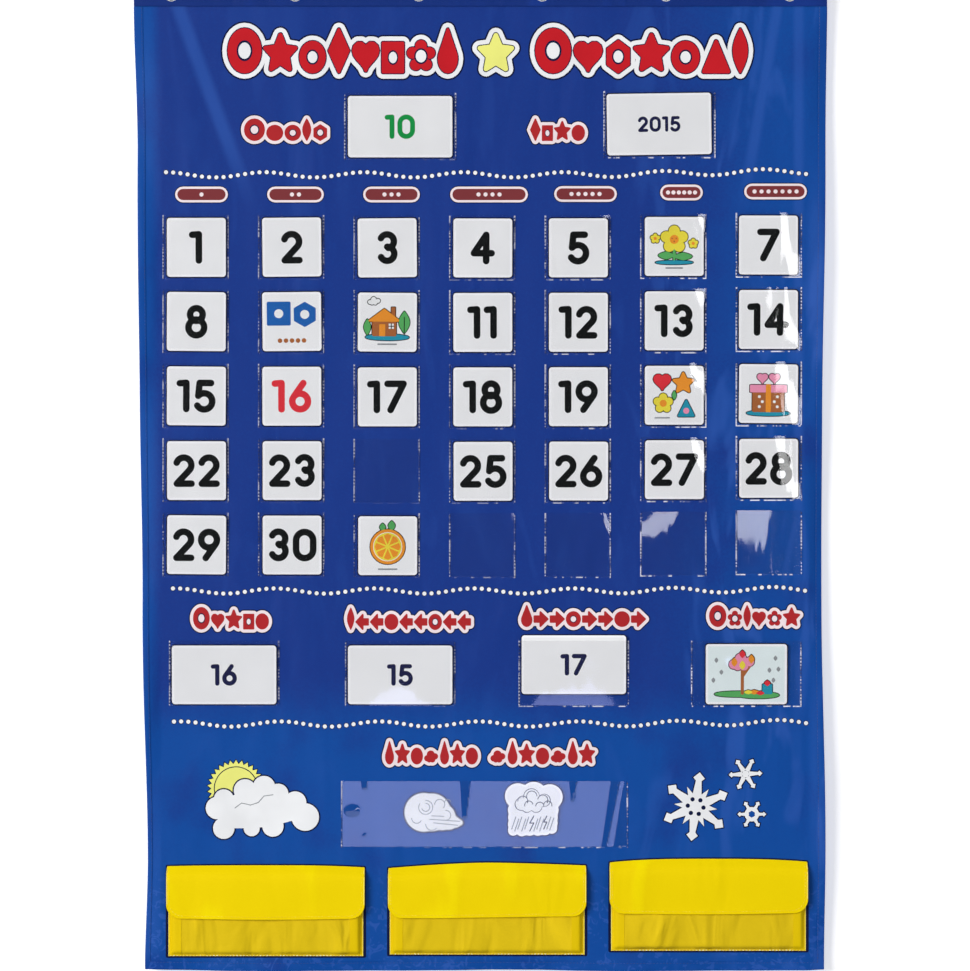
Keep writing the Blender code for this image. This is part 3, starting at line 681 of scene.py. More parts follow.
def tube(bm, points, radius, sides=8):
    """A round tube with closed ends along points."""
    points = [Vector(point) for point in points]
    first = ring = None
    for index, point in enumerate(points):
        before = points[max(index - 1, 0)]
        after = points[min(index + 1, len(points) - 1)]
        turn = Vector((0, 0, 1)).rotation_difference(after - before).to_matrix().to_4x4()
        place = Matrix.Translation(point) @ turn
        made = bmesh.ops.create_circle(bm, segments=sides, radius=radius, cap_ends=False, matrix=place)["verts"]
        edges = list({edge for vertex in made for edge in vertex.link_edges if edge.other_vert(vertex) in made})
        if ring:
            bmesh.ops.bridge_loops(bm, edges=ring + edges)
        else:
            first = edges
        ring = edges
    bmesh.ops.holes_fill(bm, edges=first + ring, sides=sides)


# Prints


class Print:
    """Flat shapes of one colour in the plane of the chart, which become a thin film."""

    # How far each shape lies above the one before it, and after how many shapes that starts again
    rise = 0.000002
    rises = 12

    def __init__(self):
        self.flat = bmesh.new()
        self.count = 0

    def lay(self, shape):
        """Adds a flat shape a little above the one before it."""
        pour(shape, self.flat, Matrix.Translation((0, -self.rise * (self.count % self.rises), 0)))
        self.count += 1

    def face(self, points):
        shape = bmesh.new()
        shape.faces.new([shape.verts.new((x, 0, z)) for x, z in points])
        self.lay(shape)

    def disc(self, x, z, radius, segments=20):
        shape = bmesh.new()
        turn = Matrix.Translation((x, 0, z)) @ Matrix.Rotation(math.pi / 2, 4, "X")
        bmesh.ops.create_circle(shape, cap_ends=True, segments=segments, radius=radius, matrix=turn)
        self.lay(shape)

    def line(self, start, end, width):
        """A straight stroke with round ends."""
        along = math.atan2(end[0] - start[0], end[1] - start[1])
        points = [turned(end, width / 2, along + angle) for angle in steps(-math.pi / 2, math.pi / 2, 8)]
        points += [turned(start, width / 2, along + angle) for angle in steps(math.pi / 2, math.pi * 1.5, 8)]
        self.face(points)

    def arc(self, centre, start, degrees, width):
        """A round stroke from a start point, turned clockwise about a centre, and its end point."""
        first = math.atan2(start[0] - centre[0], start[1] - centre[1])
        radius = math.hypot(start[0] - centre[0], start[1] - centre[1])
        last = first + math.radians(degrees)
        end = turned(centre, radius, last)
        if abs(degrees) == 360:
            self.ring(centre, radius, width)
            return end
        way = math.copysign(1, degrees)
        angles = steps(first, last, max(4, round(abs(degrees) / 9)))
        points = [turned(centre, radius + width / 2, angle) for angle in angles]
        points += [turned(end, width / 2, last + way * angle) for angle in steps(0, math.pi, 8)[1:-1]]
        points += [turned(centre, radius - width / 2, angle) for angle in reversed(angles)]
        points += [turned(start, width / 2, first + way * angle) for angle in steps(math.pi, 2 * math.pi, 8)[1:-1]]
        self.face(points)
        return end

    def ring(self, centre, radius, width):
        shape = bmesh.new()
        middle = Vector((centre[0], 0, centre[1]))
        ends = [shape.verts.new(middle + Vector((0, 0, radius + side * width / 2))) for side in (-1, 1)]
        turn_round(shape, [*ends, shape.edges.new(ends)], middle, 36)
        self.lay(shape)

    def add_to(self, bm, finish_index, back, thickness):
        """Gives the shapes a thickness and adds them, from back towards the front."""
        if not self.flat.faces:
            self.flat.free()
            return
        for face in self.flat.faces:
            face.normal_update()
            if face.normal.y > 0:
                face.normal_flip()
        made = bmesh.ops.extrude_face_region(self.flat, geom=self.flat.faces[:], use_keep_orig=True)
        pull(self.flat, made, (0, -thickness, 0))
        bmesh.ops.recalc_face_normals(self.flat, faces=self.flat.faces)
        pour(self.flat, bm, Matrix.Translation((0, -back, 0)), finish_index)

    def stack(self, bm, finish_index, level):
        """Adds the shapes as one layer of ink, over as many layers below it."""
        film = sizes().film
        self.add_to(bm, finish_index, film * (level * 1.5), film * 2)


def turned(centre, radius, angle):
    """The point at a radius from a centre, at an angle clockwise from straight up."""
    return centre[0] + radius * math.sin(angle), centre[1] + radius * math.cos(angle)


def round_points(count, radius, turn=0.0, inner=None):
    """Points on a circle, or on a star whose every other point lies at an inner radius."""
    reaches = (radius, radius if inner is None else inner)
    return [turned((0, 0), reaches[index % 2], 2 * math.pi * index / count + turn) for index in range(count)]


def heart_points():
    points = []
    for index in range(24):
        angle = 2 * math.pi * index / 24
        up = 13 * math.cos(angle) - 5 * math.cos(2 * angle) - 2 * math.cos(3 * angle) - math.cos(4 * angle)
        points.append((math.sin(angle) ** 3, (up + 2.5) / 16))
    return points


def leaf_points():
    side = [(math.sin(math.pi * share), 1 - 2 * share) for share in steps(0, 1, 8)]
    return side + [(-x, z) for x, z in reversed(side[1:-1])]


def drop_points():
    low = [(math.sin(angle), -0.38 - 0.62 * math.cos(angle)) for angle in steps(-1.9, 1.9, 12)]
    return low + [(0, 1)]


# Corners of the plain shapes in a square from -1 to 1, and the round parts of the ones that are made of discs
CORNERS = {
    "disc": round_points(28, 1),
    "star": round_points(10, 1.08, inner=0.52),
    "triangle": [(0, 1), (1, -1), (-1, -1)],
    "square": [(1, 1), (1, -1), (-1, -1), (-1, 1)],
    "diamond": [(0, 1), (1, 0), (0, -1), (-1, 0)],
    "hexagon": round_points(6, 1),
    "bar": [(1, 0.28), (1, -0.28), (-1, -0.28), (-1, 0.28)],
    "left": [(-1, 0), (0.1, 1), (0.1, 0.4), (1, 0.4), (1, -0.4), (0.1, -0.4), (0.1, -1)],
    "right": [(1, 0), (-0.1, 1), (-0.1, 0.4), (-1, 0.4), (-1, -0.4), (-0.1, -0.4), (-0.1, -1)],
    "cross": [(0.3, 1), (0.3, 0.3), (1, 0.3), (1, -0.3), (0.3, -0.3), (0.3, -1), (-0.3, -1), (-0.3, -0.3),
              (-1, -0.3), (-1, 0.3), (-0.3, 0.3), (-0.3, 1)],
    "heart": heart_points(),
    "leaf": leaf_points(),
    "drop": drop_points(),
}
LUMPS = {
    "flower": [(x, z, 0.4) for x, z in round_points(5, 0.6)],
    "cloud": [(-0.55, -0.2, 0.42), (-0.1, 0.3, 0.52), (0.45, 0.05, 0.42), (0.1, -0.35, 0.4), (-0.3, -0.4, 0.35)],
}


def core_of(kind, half_width, half_height):
    """Discs, as (x, z, radius), whose outside is a plain shape with round corners."""
    if kind in LUMPS:
        least = min(half_width, half_height)
        return [(x * half_width, z * half_height, radius * least) for x, z, radius in LUMPS[kind]]
    rounding = 0.13 * min(half_width, half_height)
    corners = [(x * (half_width - rounding), z * (half_height - rounding)) for x, z in CORNERS[kind]]
    core = []
    for start, end in zip(corners, corners[1:] + corners[:1]):
        for share in steps(0, 1, max(1, math.ceil(2 * math.dist(start, end) / rounding)))[:-1]:
            core.append((start[0] + (end[0] - start[0]) * share, start[1] + (end[1] - start[1]) * share, rounding))
    return core


def outline(core, grow, place=(0, 0), count=120):
    """Points round the outside of discs grown by an amount, as they are seen from their middle."""
    points = []
    for index in range(count):
        across, up = turned((0, 0), 1, 2 * math.pi * index / count)
        reach = 0
        for x, z, radius in core:
            room = (radius + grow) ** 2 - (x * up - z * across) ** 2
            if room > 0:
                reach = max(reach, x * across + z * up + math.sqrt(room))
        points.append((place[0] + across * reach, place[1] + up * reach))
    return points


def draw(film, kind, place, half_width, half_height, grow=0.0):
    """One plain shape, grown outwards, in a print."""
    film.face(outline(core_of(kind, half_width, half_height), grow, place))


# Width and height of the shapes in a row, as shares of its height, and whether a shape has a light middle
ROW_SHAPES = {
    "ring": ("disc", 0.84, 1, True),
    "disc": ("disc", 0.68, 0.72, False),
    "pearl": ("disc", 0.66, 0.72, True),
    "star": ("star", 0.82, 0.86, False),
    "triangle": ("triangle", 0.66, 0.74, False),
    "square": ("square", 0.56, 0.7, True),
    "diamond": ("diamond", 0.54, 1, False),
    "hexagon": ("hexagon", 0.62, 0.74, True),
    "heart": ("heart", 0.68, 0.74, False),
    "drop": ("drop", 0.5, 1, False),
    "leaf": ("leaf", 0.36, 1, False),
    "flower": ("flower", 0.72, 0.76, True),
    "left": ("left", 0.66, 0.72, False),
    "right": ("right", 0.66, 0.72, False),
    "cloud": ("cloud", 0.84, 0.66, False),
}


def row_of_shapes(bm, names, left, right, top, bottom, layers):
    """Plain shapes side by side in a field given in squares. Each layer is (finish index, growth in squares)."""
    height = bottom - top
    chosen = [ROW_SHAPES[name] for name in names.split()]
    natural = sum(shape[1] for shape in chosen) * height
    scale = (right - left) / natural * 0.94
    gap = (right - left) * 0.06 / max(len(chosen) - 1, 1)
    films = [Print() for _ in layers]
    eyes = [Print(), Print()]
    across = left
    for kind, width, tall, eye in chosen:
        half_width, half_height = width * height * scale / 2, tall * height / 2
        place = at(across + half_width, bottom - half_height)
        for film_print, (finish_index, grow) in zip(films, layers):
            draw(film_print, kind, place, half_width * SQUARE, half_height * SQUARE, grow * SQUARE)
        if eye:
            for eye_print, share in zip(eyes, (0.46, 0.36)):
                draw(eye_print, "disc", place, half_width * share * SQUARE, half_height * share * SQUARE)
        across += 2 * half_width + gap
    inks = [finish_index for finish_index, grow in layers] + [0, 1]
    for level, (film_print, finish_index) in enumerate(zip(films + eyes, inks)):
        film_print.stack(bm, finish_index, level)


# Digits, each as (width, strokes) in squares about its middle: M moves to a place, L draws a line to it, and A draws
# an arc round it by so many degrees
DIGITS = {
    "0": (23.4, (("M", -8.55, 4.5), ("A", 0, 4.5, 180), ("L", 8.55, -4.5), ("A", 0, -4.5, 180), ("L", -8.55, 4.5))),
    "1": (12.9, (("M", -4.1, 12.6), ("L", 2.5, 13.05), ("L", 2.5, -13.05))),
    "2": (21.4, (("M", -7.3, 7.9), ("A", -0.2, 5.5, 204), ("L", -7.2, -13.05), ("L", 7.5, -13.05))),
    "3": (21.4, (("M", -6.3, 9.6), ("A", -0.2, 6.5, 232), ("M", -0.1, 1.0), ("A", -0.1, -6.0, 242))),
    "4": (24, (("M", 3.4, 13.05), ("L", -8.85, -5.2), ("L", 8.85, -5.2), ("M", 3.4, 13.05), ("L", 3.4, -13.05))),
    "5": (21.4, (("M", 6.4, 13.05), ("L", -5.0, 13.05), ("L", -6.3, 0.2), ("A", -0.4, -5.3, 285))),
    "6": (22, (("M", 3.2, 13.05), ("L", -6.43, -0.7), ("A", 0, -5.2, -360))),
    "7": (22.3, (("M", -8.0, 13.05), ("L", 8.0, 13.05), ("L", -5.0, -13.05))),
    "8": (21.6, (("M", 0, 13.3), ("A", 0, 7.0, 360), ("M", 0, 2.0), ("A", 0, -5.85, 360))),
    "9": (22, (("M", -3.2, -13.05), ("L", 6.43, 0.7), ("A", 0, 5.2, -360))),
}
DIGIT_GAP = 3.6


def write_number(film, text, centre, scale):
    """A number in round strokes about a centre, at a scale of the day numbers."""
    unit, stroke = SQUARE * scale, sizes().digit_stroke * scale
    width = sum(DIGITS[digit][0] for digit in text) + DIGIT_GAP * (len(text) - 1)
    left = -width / 2
    for digit in text:
        advance, digit_strokes = DIGITS[digit]
        middle = left + advance / 2
        spot = None
        for way, across, up, *degrees in digit_strokes:
            target = (centre[0] + (middle + across) * unit, centre[1] + up * unit)
            if way == "A":
                spot = film.arc(target, spot, *degrees, stroke)
                continue
            if way == "L":
                film.line(spot, target, stroke)
            spot = target
        left += advance + DIGIT_GAP


# Cloth

# How far the folds at the sides of the cloth and in its lower margin stand forward, and how far apart they lie
SIDE_FOLD, LEFT_FOLD_PITCH, RIGHT_FOLD_PITCH = 0.004, 0.42, 0.52
LOW_FOLD, LOW_FOLD_PITCH = 0.0025, 0.19
SMALL_FOLD, SMALL_FOLD_PITCH = 0.0006, 0.061


def edge_shift(x, z):
    """How far the cloth is drawn in sideways at a place, and how far it folds forward."""
    share = min(max(z / CLOTH_LOW.z, 0), 1)
    left_margin, right_margin = GRID_LEFT - BAND_LOW.x, BAND_HIGH.x - GRID_RIGHT
    left_part = max(0, (GRID_LEFT - x) / left_margin)
    right_part = max(0, (x - FLAT_RIGHT) / (BAND_HIGH.x - FLAT_RIGHT))
    left = left_margin * eased(DROP_SHARES, LEFT_INSET_SHARES, share) * left_part
    right = right_margin * eased(DROP_SHARES, RIGHT_INSET_SHARES, share) * right_part
    drop = -z
    forward = ease(left_part) * math.sin(2 * math.pi * drop / LEFT_FOLD_PITCH)
    forward += ease(right_part) * math.sin(2 * math.pi * drop / RIGHT_FOLD_PITCH + math.radians(57))
    forward *= SIDE_FOLD * ease(drop / 0.15)
    small = noise.noise(Vector((x * 40, 3, z * 14))) * 0.0012 * max(ease(left_part), ease(right_part))
    return left - right, forward + small


def bottom_swing(x, z):
    """How far the lower margin swings forward in its own folds."""
    share = ease((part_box("storage_pocket_left")[0].z - z) / 0.0152)
    swing = LOW_FOLD * math.sin(2 * math.pi * x / LOW_FOLD_PITCH)
    return share * (swing + SMALL_FOLD * math.sin(2 * math.pi * x / SMALL_FOLD_PITCH + 1))


def cloth_point(x, z, off=0.0):
    """The place on the hung cloth of a point of the flat cloth, off its middle towards the front."""
    shift, forward = edge_shift(x, z)
    ripple = 0
    if z < -0.98:
        ripple = 0.0008 * math.cos(math.pi * x / LOW_FOLD_PITCH) * ease((-z + CLOTH_LOW.z + 0.02) / 0.02)
    return Vector((x + shift, CLOTH_MIDDLE - off + forward + bottom_swing(x, z), z + ripple))


# Where the cloth ends at the bottom, and how thick the sheets of the other pieces are
CLOTH_END = CLOTH_LOW.z + 0.0006
HEM_WALL = 0.0003
HEADER_WALL = 0.0006
STORAGE_WALL = 0.0004
BAND_WALL = 0.0003
FLAP_WALL = 0.0007


class PieceOperator:
    """What the operators of this file share."""

    bl_options = {"REGISTER", "UNDO"}

    def execute(self, context):
        self.make()
        return {"FINISHED"}


class CHART_OT_cloth(PieceOperator, bpy.types.Operator):
    """Make the blue backing cloth"""

    bl_idname = "chart.cloth"
    bl_label = "Backing cloth"

    def make(self):
        top = BAND_LOW.z + 0.0055

        def place(u, v):
            share = u - 0.75 * math.sin(2 * math.pi * u) / (2 * math.pi)  # more columns near the sides, where it folds
            x = BAND_LOW.x + (BAND_HIGH.x - BAND_LOW.x) * share
            return cloth_point(x, CLOTH_END + (top - CLOTH_END) * v, CLOTH_HALF)

        bm = lofted(sizes().cloth_columns, sizes().cloth_rows, place)
        thicken(bm, 2 * CLOTH_HALF)
        cloth = add_piece("backing_cloth", bm, ["Blue nylon"], replaced=["backing_sheet"])


class CHART_OT_hems(PieceOperator, bpy.types.Operator):
    """Make the folded hems of the cloth with their stitching"""

    bl_idname = "chart.hems"
    bl_label = "Hems"

    def strip(self, start, end, inward, height):
        """A strip of cloth folded round an edge, from start to end on the flat cloth."""
        size = sizes()
        front = [(1, 1), (0.6, 1.05), (0.15, 1.05), (0.02, 0.8)]
        section = front + [(-0.04, 0)] + [(inner, -side) for inner, side in reversed(front)]

        def place(u, v):
            inner, side = section[round(u * (len(section) - 1))]
            reach = size.hem_width * inner
            x = start[0] + (end[0] - start[0]) * v + inward[0] * reach
            z = start[1] + (end[1] - start[1]) * v + inward[1] * reach
            return cloth_point(x, z, height * side)

        bm = lofted(len(section) - 1, 150, place)
        thicken(bm, HEM_WALL, Vector((-inward[0], 0, -inward[1])))
        return bm

    def make(self):
        size = sizes()
        left, right = BAND_LOW.x, BAND_HIGH.x
        top, low = BAND_LOW.z - 0.0004, CLOTH_END
        over = size.hem_height + 0.0001  # the bottom hem and the stitches lie over the side hems
        hems = bmesh.new()
        pour(self.strip((left, low), (left, top), (1, 0), size.hem_height), hems)
        pour(self.strip((right, low), (right, top), (-1, 0), size.hem_height), hems)
        pour(self.strip((left, low), (right, low), (0, 1), over), hems)
        inner = size.hem_width * 0.86
        runs = [
            [(left + inner, z) for z in steps(top, low + inner, 60)],
            [(right - inner, z) for z in steps(top, low + inner, 60)],
            [(x, low + inner) for x in steps(left + inner, right - inner, 60)],
        ]
        sewn = bmesh.new()
        for run in runs:
            sew(sewn, [cloth_point(x, z, over) for x, z in run])
        pour(sewn, hems, finish_index=1)
        add_piece("cloth_hems", hems, ["Blue hem", "Blue thread"])


# The solids of the eyelets, and the radius of the holes for them in the header and of their bores
EYELETS = [f"grommet_{number}" for number in range(1, 7)]
EYELET_HOLE = 0.0055
EYELET_BORE = 0.00475


class CHART_OT_header(PieceOperator, bpy.types.Operator):
    """Make the folded header band with its stitching"""

    bl_idname = "chart.header"
    bl_label = "Header band"

    def make(self):
        half = (BAND_HIGH.y - BAND_LOW.y) / 2
        middle = (BAND_HIGH.y + BAND_LOW.y) / 2
        low, high = BAND_LOW.z, BAND_HIGH.z
        side = [(half * 0.9, low), (half, low + 0.0008), (half * 0.94, low + 0.0026), (half, low + 0.006)]
        side += [(half, 0), (half, high - 0.006), (half * 0.94, high - 0.003)]
        section = [(-forward, z) for forward, z in side]
        section += [(half * math.cos(a), high - half + half * math.sin(a)) for a in steps(math.pi, 0, 8)]
        section += reversed(side)
        last = len(section) - 1

        def place(u, v):
            forward, z = section[round(v * last)]
            x = BAND_LOW.x + (BAND_HIGH.x - BAND_LOW.x) * u
            swell = 0.00012 * math.sin(x * 210) * (1 if abs(z) < 0.009 else 0.2)
            return Vector((x, middle + forward + math.copysign(swell, forward), z))

        bm = lofted(140, last, place)
        bmesh.ops.recalc_face_normals(bm, faces=bm.faces)
        bmesh.ops.solidify(bm, geom=bm.faces[:], thickness=HEADER_WALL)
        bmesh.ops.recalc_face_normals(bm, faces=bm.faces)
        band = add_piece("header_cloth", bm, ["Blue header"], replaced=["header_band"])
        holes = bmesh.new()
        for name in EYELETS:
            eye_low, eye_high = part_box(name)
            turn = Matrix.Translation(((eye_low.x + eye_high.x) / 2, middle, 0)) @ Matrix.Rotation(math.pi / 2, 4, "X")
            bmesh.ops.create_cone(
                holes, cap_ends=True, segments=28, radius1=EYELET_HOLE, radius2=EYELET_HOLE, depth=0.02, matrix=turn
            )
        cutter = add_object("eyelet_cutter", mesh_of("eyelet_cutter", holes))
        cut = band.modifiers.new("Eyelet holes", "BOOLEAN")
        cut.object = cutter
        bpy.context.view_layer.update()
        graph = bpy.context.evaluated_depsgraph_get()
        band.data = bpy.data.meshes.new_from_object(band.evaluated_get(graph))
        band.modifiers.clear()
        bpy.data.objects.remove(cutter)
        sewn = bmesh.new()
        front = middle - half * 0.94 - 0.0001
        for z in (low + 0.0016, high - 0.003):
            for y in (front, 2 * middle - front):
                sew(sewn, [(BAND_LOW.x + 0.002, y, z), (BAND_HIGH.x - 0.002, y, z)])
        add_piece("header_stitches", sewn, ["Blue thread"])


class CHART_OT_eyelets(PieceOperator, bpy.types.Operator):
    """Make the six rolled metal eyelets"""

    bl_idname = "chart.eyelets"
    bl_label = "Eyelets"

    def make(self):
        low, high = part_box(EYELETS[0])
        middle = (low.y + high.y) / 2
        face = (high.y - low.y) / 2
        outer = (high.x - low.x) / 2
        bore, wall, seat = EYELET_BORE, 0.00045, face - 0.0009
        crown = [(bore + wall * 0.2, face - 0.0004), (bore + 0.0005, face), (bore + 0.0012, face - 0.00002)]
        crown += [(outer - 0.001, face - 0.00015), (outer - 0.0003, face - 0.00035), (outer, seat + 0.0003)]
        crown += [(outer - 0.0002, seat), (bore + wall, seat)]
        profile = crown + [(radius, -height) for radius, height in reversed(crown)]
        profile += [(bore, 0.0004 - face), (bore, face - 0.0006)]
        eyes = bmesh.new()
        for name in EYELETS:
            low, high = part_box(name)
            centre = Vector(((low.x + high.x) / 2, middle, 0))
            eye = bmesh.new()
            points = [eye.verts.new(centre + Vector((radius, height, 0))) for radius, height in profile]
            edges = [eye.edges.new((a, b)) for a, b in zip(points, points[1:] + points[:1])]
            turn_round(eye, points + edges, centre, 44)
            bmesh.ops.remove_doubles(eye, verts=eye.verts, dist=0.000005)
            bmesh.ops.recalc_face_normals(eye, faces=eye.faces)
            pour(eye, eyes)
        add_piece("eyelets", eyes, ["Plated metal"], replaced=EYELETS, smooth=50)


# Clear pockets

# Upright flutes of the weather strip, in squares: where the top and the end of each lies across, its half width
# there, and how far down it goes
STRIP_DENTS = (
    (365, 365, 2.8, 2.4, 8), (465.4, 464.5, 4.9, 2.2, 36), (573, 572, 4.2, 1.0, 20), (615, 603.2, 4.6, 2.6, 70),
)
# Its round dimples: across, down from its top, half width and half height
STRIP_DIMPLES = ((352.7, 29.5, 8, 6.3), (365, 53.6, 2.6, 1.6))


def strip_dents(x, level, height):
    """How far the weather strip bends forward at its flutes and dimples, and back at its right end."""
    across, down = x / SQUARE + LEFT_SQUARES, (height - level) / SQUARE
    reach = 0
    for top, bottom, wide, narrow, drop in STRIP_DENTS:
        share = down / drop
        half = wide + (narrow - wide) * share
        inside = across - top - (bottom - top) * share + half
        if share <= 1 and 0 < inside < 2 * half:
            reach = max(reach, inside)
    for middle, low, half_width, half_height in STRIP_DIMPLES:
        away = math.hypot((across - middle) / half_width, (down - low) / half_height)
        reach = max(reach, (1 - away) * half_height)
    aside = max(0, across - 624.5 + 0.163 * down)
    return (0.22 * reach - 0.07 * aside) * SQUARE


def vinyl_front(centre, bottom, width, height, seed, loose, dents):
    """One clear pocket: flat seams at its sides and bottom, and a front that leans off the cloth to its mouth."""
    size = sizes()
    seam, slope, low_off = size.seam, 0.0006, 0.0012  # the front rises off its seams over the slope, by low_off
    half = width / 2
    inner = half - seam - slope
    fine = size.vinyl_face / 4 if dents else size.vinyl_face
    across = [-half, seam - half] + steps(-inner, inner, round(width / fine)) + [half - seam, half]
    up = [0, seam] + steps(seam + slope, height - 0.0012, round(height / fine)) + [height]

    def place(x, level):
        if abs(x) >= inner + slope / 2 or level <= seam + slope / 2:
            return Vector((centre + x, CLOTH_FRONT - GAP, bottom + level))
        near = max(1 - (x / inner) ** 2, 0)
        rise = min(level / height, 1)
        wave = noise.noise(Vector((x * 30 + seed * 7, level * 9, seed * 3.1)))
        off = low_off + level * math.sin(LEAN)
        swell = rise * (near * (size.vinyl_swell + 0.0006 * max(wave + 0.3, 0)) * loose[0] - loose[1] * x)
        swell += dents(centre + x, level, height) if dents else 0
        return Vector((centre + x, CLOTH_FRONT - off - max(swell, -off * 0.8), bottom + level))

    bm = lined(across, up, place)
    # The pressed seams take the painted seam glints, the bottom seam its own fainter one.
    edge = {vertex for vertex in bm.verts if vertex.co.y > CLOTH_FRONT - GAP - 0.0001}
    for face in bm.faces:
        pressed = sum(vertex in edge for vertex in face.verts) >= 3
        face.material_index = (2 if face.calc_center_median().z < bottom + seam + slope else 1) if pressed else 0
    thicken(bm, size.vinyl, BACK)
    return bm


def seam_stitches(bm, centre, bottom, width, height):
    """Stitches down both sides of a clear pocket."""
    size = sizes()
    out = CLOTH_FRONT - GAP - size.vinyl
    for side in (-1, 1):
        x = centre + side * (width / 2 - size.seam / 2)
        sew(bm, [(x, out, bottom + height - 0.001), (x, out, bottom + 0.001)], size.pocket_thread)


def day_pocket_place(row, column):
    """Centre, bottom, width and height of a day pocket, from the row's solid."""
    low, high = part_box(f"day_pocket_row_{row + 1}")
    width = DAY_POCKET_WIDTH
    pitch = (high.x - low.x - width) / (DAY_COLUMNS - 1)
    height = high.z - low.z - (max(COLUMN_RISES) - min(COLUMN_RISES))
    return low.x + width / 2 + pitch * column, low.z - min(COLUMN_RISES) + COLUMN_RISES[column], width, height


def pocket_row(name, places, node_name, loose, dents=None):
    """A row of clear pockets at places, each as (centre, bottom, width, height)."""
    bm = bmesh.new()
    sewn = bmesh.new()
    for number, place in enumerate(places):
        pour(vinyl_front(*place, sum(map(ord, name)) + number * 5, loose[number], dents), bm)
        seam_stitches(sewn, *place)
    add_piece(name, bm, ["Clear vinyl", "Vinyl seam", "Low seam"], replaced=[node_name])
    add_piece(name + "_stitches", sewn, ["Pocket thread"])


class CHART_OT_day_pockets(PieceOperator, bpy.types.Operator):
    """Make the five rows of clear day pockets"""

    bl_idname = "chart.day_pockets"
    bl_label = "Day pockets"

    def make(self):
        for row in range(DAY_ROWS):
            places = [day_pocket_place(row, column) for column in range(DAY_COLUMNS)]
            loose = [LOOSE_PLACES.get((row, column), (1, 0)) for column in range(DAY_COLUMNS)]
            pocket_row(f"clear_pockets_{row + 1}", places, f"day_pocket_row_{row + 1}", loose)


class CHART_OT_wide_pockets(PieceOperator, bpy.types.Operator):
    """Make the clear pockets for the wide cards and the weather"""

    bl_idname = "chart.wide_pockets"
    bl_label = "Wide pockets"

    def make(self):
        low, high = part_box("month_year_pockets")
        width, height = 0.1177, high.z - low.z - 0.002
        places = [(low.x + width / 2, low.z, width, height), (high.x - width / 2, low.z + 0.002, width, height)]
        pocket_row("month_and_year_pockets", places, "month_year_pockets", ((1, 0), (1, 0)))
        low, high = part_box("day_name_pockets")
        width, height = 0.1159, high.z - low.z
        shares = (0.0965, 0.3717, 0.6432, 0.9129)
        centres = [GRID_LEFT + (GRID_RIGHT - GRID_LEFT) * share for share in shares]
        places = [(centre, low.z, width, height) for centre in centres]
        pocket_row("name_pockets", places, "day_name_pockets", ((1, 0), (1, 0), (1.5, 0), (1.8, 0)))
        low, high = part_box("weather_pocket")
        place = ((low.x + high.x) / 2, low.z, high.x - low.x, high.z - low.z)
        pocket_row("weather_strip", [place], "weather_pocket", ((0.15, 0),), strip_dents)


# Cards


def card_matrix(node_name, height, turn):
    """Where a card stands, from its solid: the middle of its lower back edge, leaning with its pocket."""
    low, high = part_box(node_name)
    leaning = Matrix.Rotation(turn, 4, "Y") @ Matrix.Rotation(LEAN, 4, "X")
    middle = leaning @ Vector((0, -CARD_THICKNESS / 2, height / 2))
    return Matrix.Translation((low + high) / 2 - middle) @ leaning


def rounded_card(width, height, corner):
    """Points round a card with round corners, about its middle."""
    points = []
    for across, up, start in ((1, 1, 0), (1, -1, 90), (-1, -1, 180), (-1, 1, 270)):
        centre = (across * (width / 2 - corner), up * (height / 2 - corner))
        points += [turned(centre, corner, math.radians(start + angle)) for angle in steps(0, 90, 6)]
    return points


def card_body(points):
    """A laminated card: its face, a bright rim round it, and a dark film round its edge that paints the shadow round
    the card.
    """
    size = sizes()
    bm = bmesh.new()
    back = bm.faces.new([bm.verts.new((x, 0, z)) for x, z in points])
    pull(bm, bmesh.ops.extrude_face_region(bm, geom=[back], use_keep_orig=True), (0, -CARD_THICKNESS, 0))
    bmesh.ops.recalc_face_normals(bm, faces=bm.faces)
    rims = [edge for edge in bm.edges if abs(edge.verts[0].co.y - edge.verts[1].co.y) < CARD_THICKNESS / 2]
    bmesh.ops.bevel(bm, geom=rims, offset=0.00012, affect="EDGES", segments=2, profile=0.5, material=-1)
    bm.normal_update()
    sides = [face for face in bm.faces if len(face.verts) > 4]
    # The back, the sides and the outer band of the face take the dark film of the painted shadow.
    for face in bm.faces:
        face.material_index = 2
    for side in sides:
        bmesh.ops.inset_region(bm, faces=[side], thickness=size.card_film, use_even_offset=True)
        rim = bmesh.ops.inset_region(bm, faces=[side], thickness=size.card_rim, use_even_offset=True)["faces"]
        for face in rim:
            face.material_index = 1
        side.material_index = 0
    return bm


def add_card(name, node_name, width, height, prints, turn=0.0, lie=0.0, face="Card face", outlined=None):
    """A card with its prints. prints are (finish, function that draws in a print about the card's middle)."""
    size = sizes()
    points = outlined or rounded_card(width + size.card_margin, height + size.card_margin, size.card_corner)
    bm = card_body(points)
    finishes = [face, "Card edge", "Card film"]
    for level, (ink, drawn) in enumerate(prints):
        printed = Print()
        drawn(printed)
        if ink not in finishes:
            finishes.append(ink)
        printed.add_to(bm, finishes.index(ink), CARD_THICKNESS - size.film * (0.3 - level * 0.4), size.film * 0.6)
    bm.transform(Matrix.Translation((0, 0, height / 2)))
    lift = (abs(math.sin(turn)) * width + size.card_margin) / 2 if lie else 0
    bm.transform(Matrix.Translation((lie, 0, lift)) @ card_matrix(node_name, height, turn))
    return add_piece(name, bm, finishes, body=node_name, replaced=[node_name])


def shapes(kind_places, grow=0.0):
    """A function that draws plain shapes at places given in squares from the card's middle."""

    def drawn(film):
        for kind, *placing in kind_places:
            across, up, half_width, half_height = [value * SQUARE for value in (*placing, placing[-1])[:4]]
            draw(film, kind, (across, up), half_width, half_height, grow * SQUARE)

    return drawn


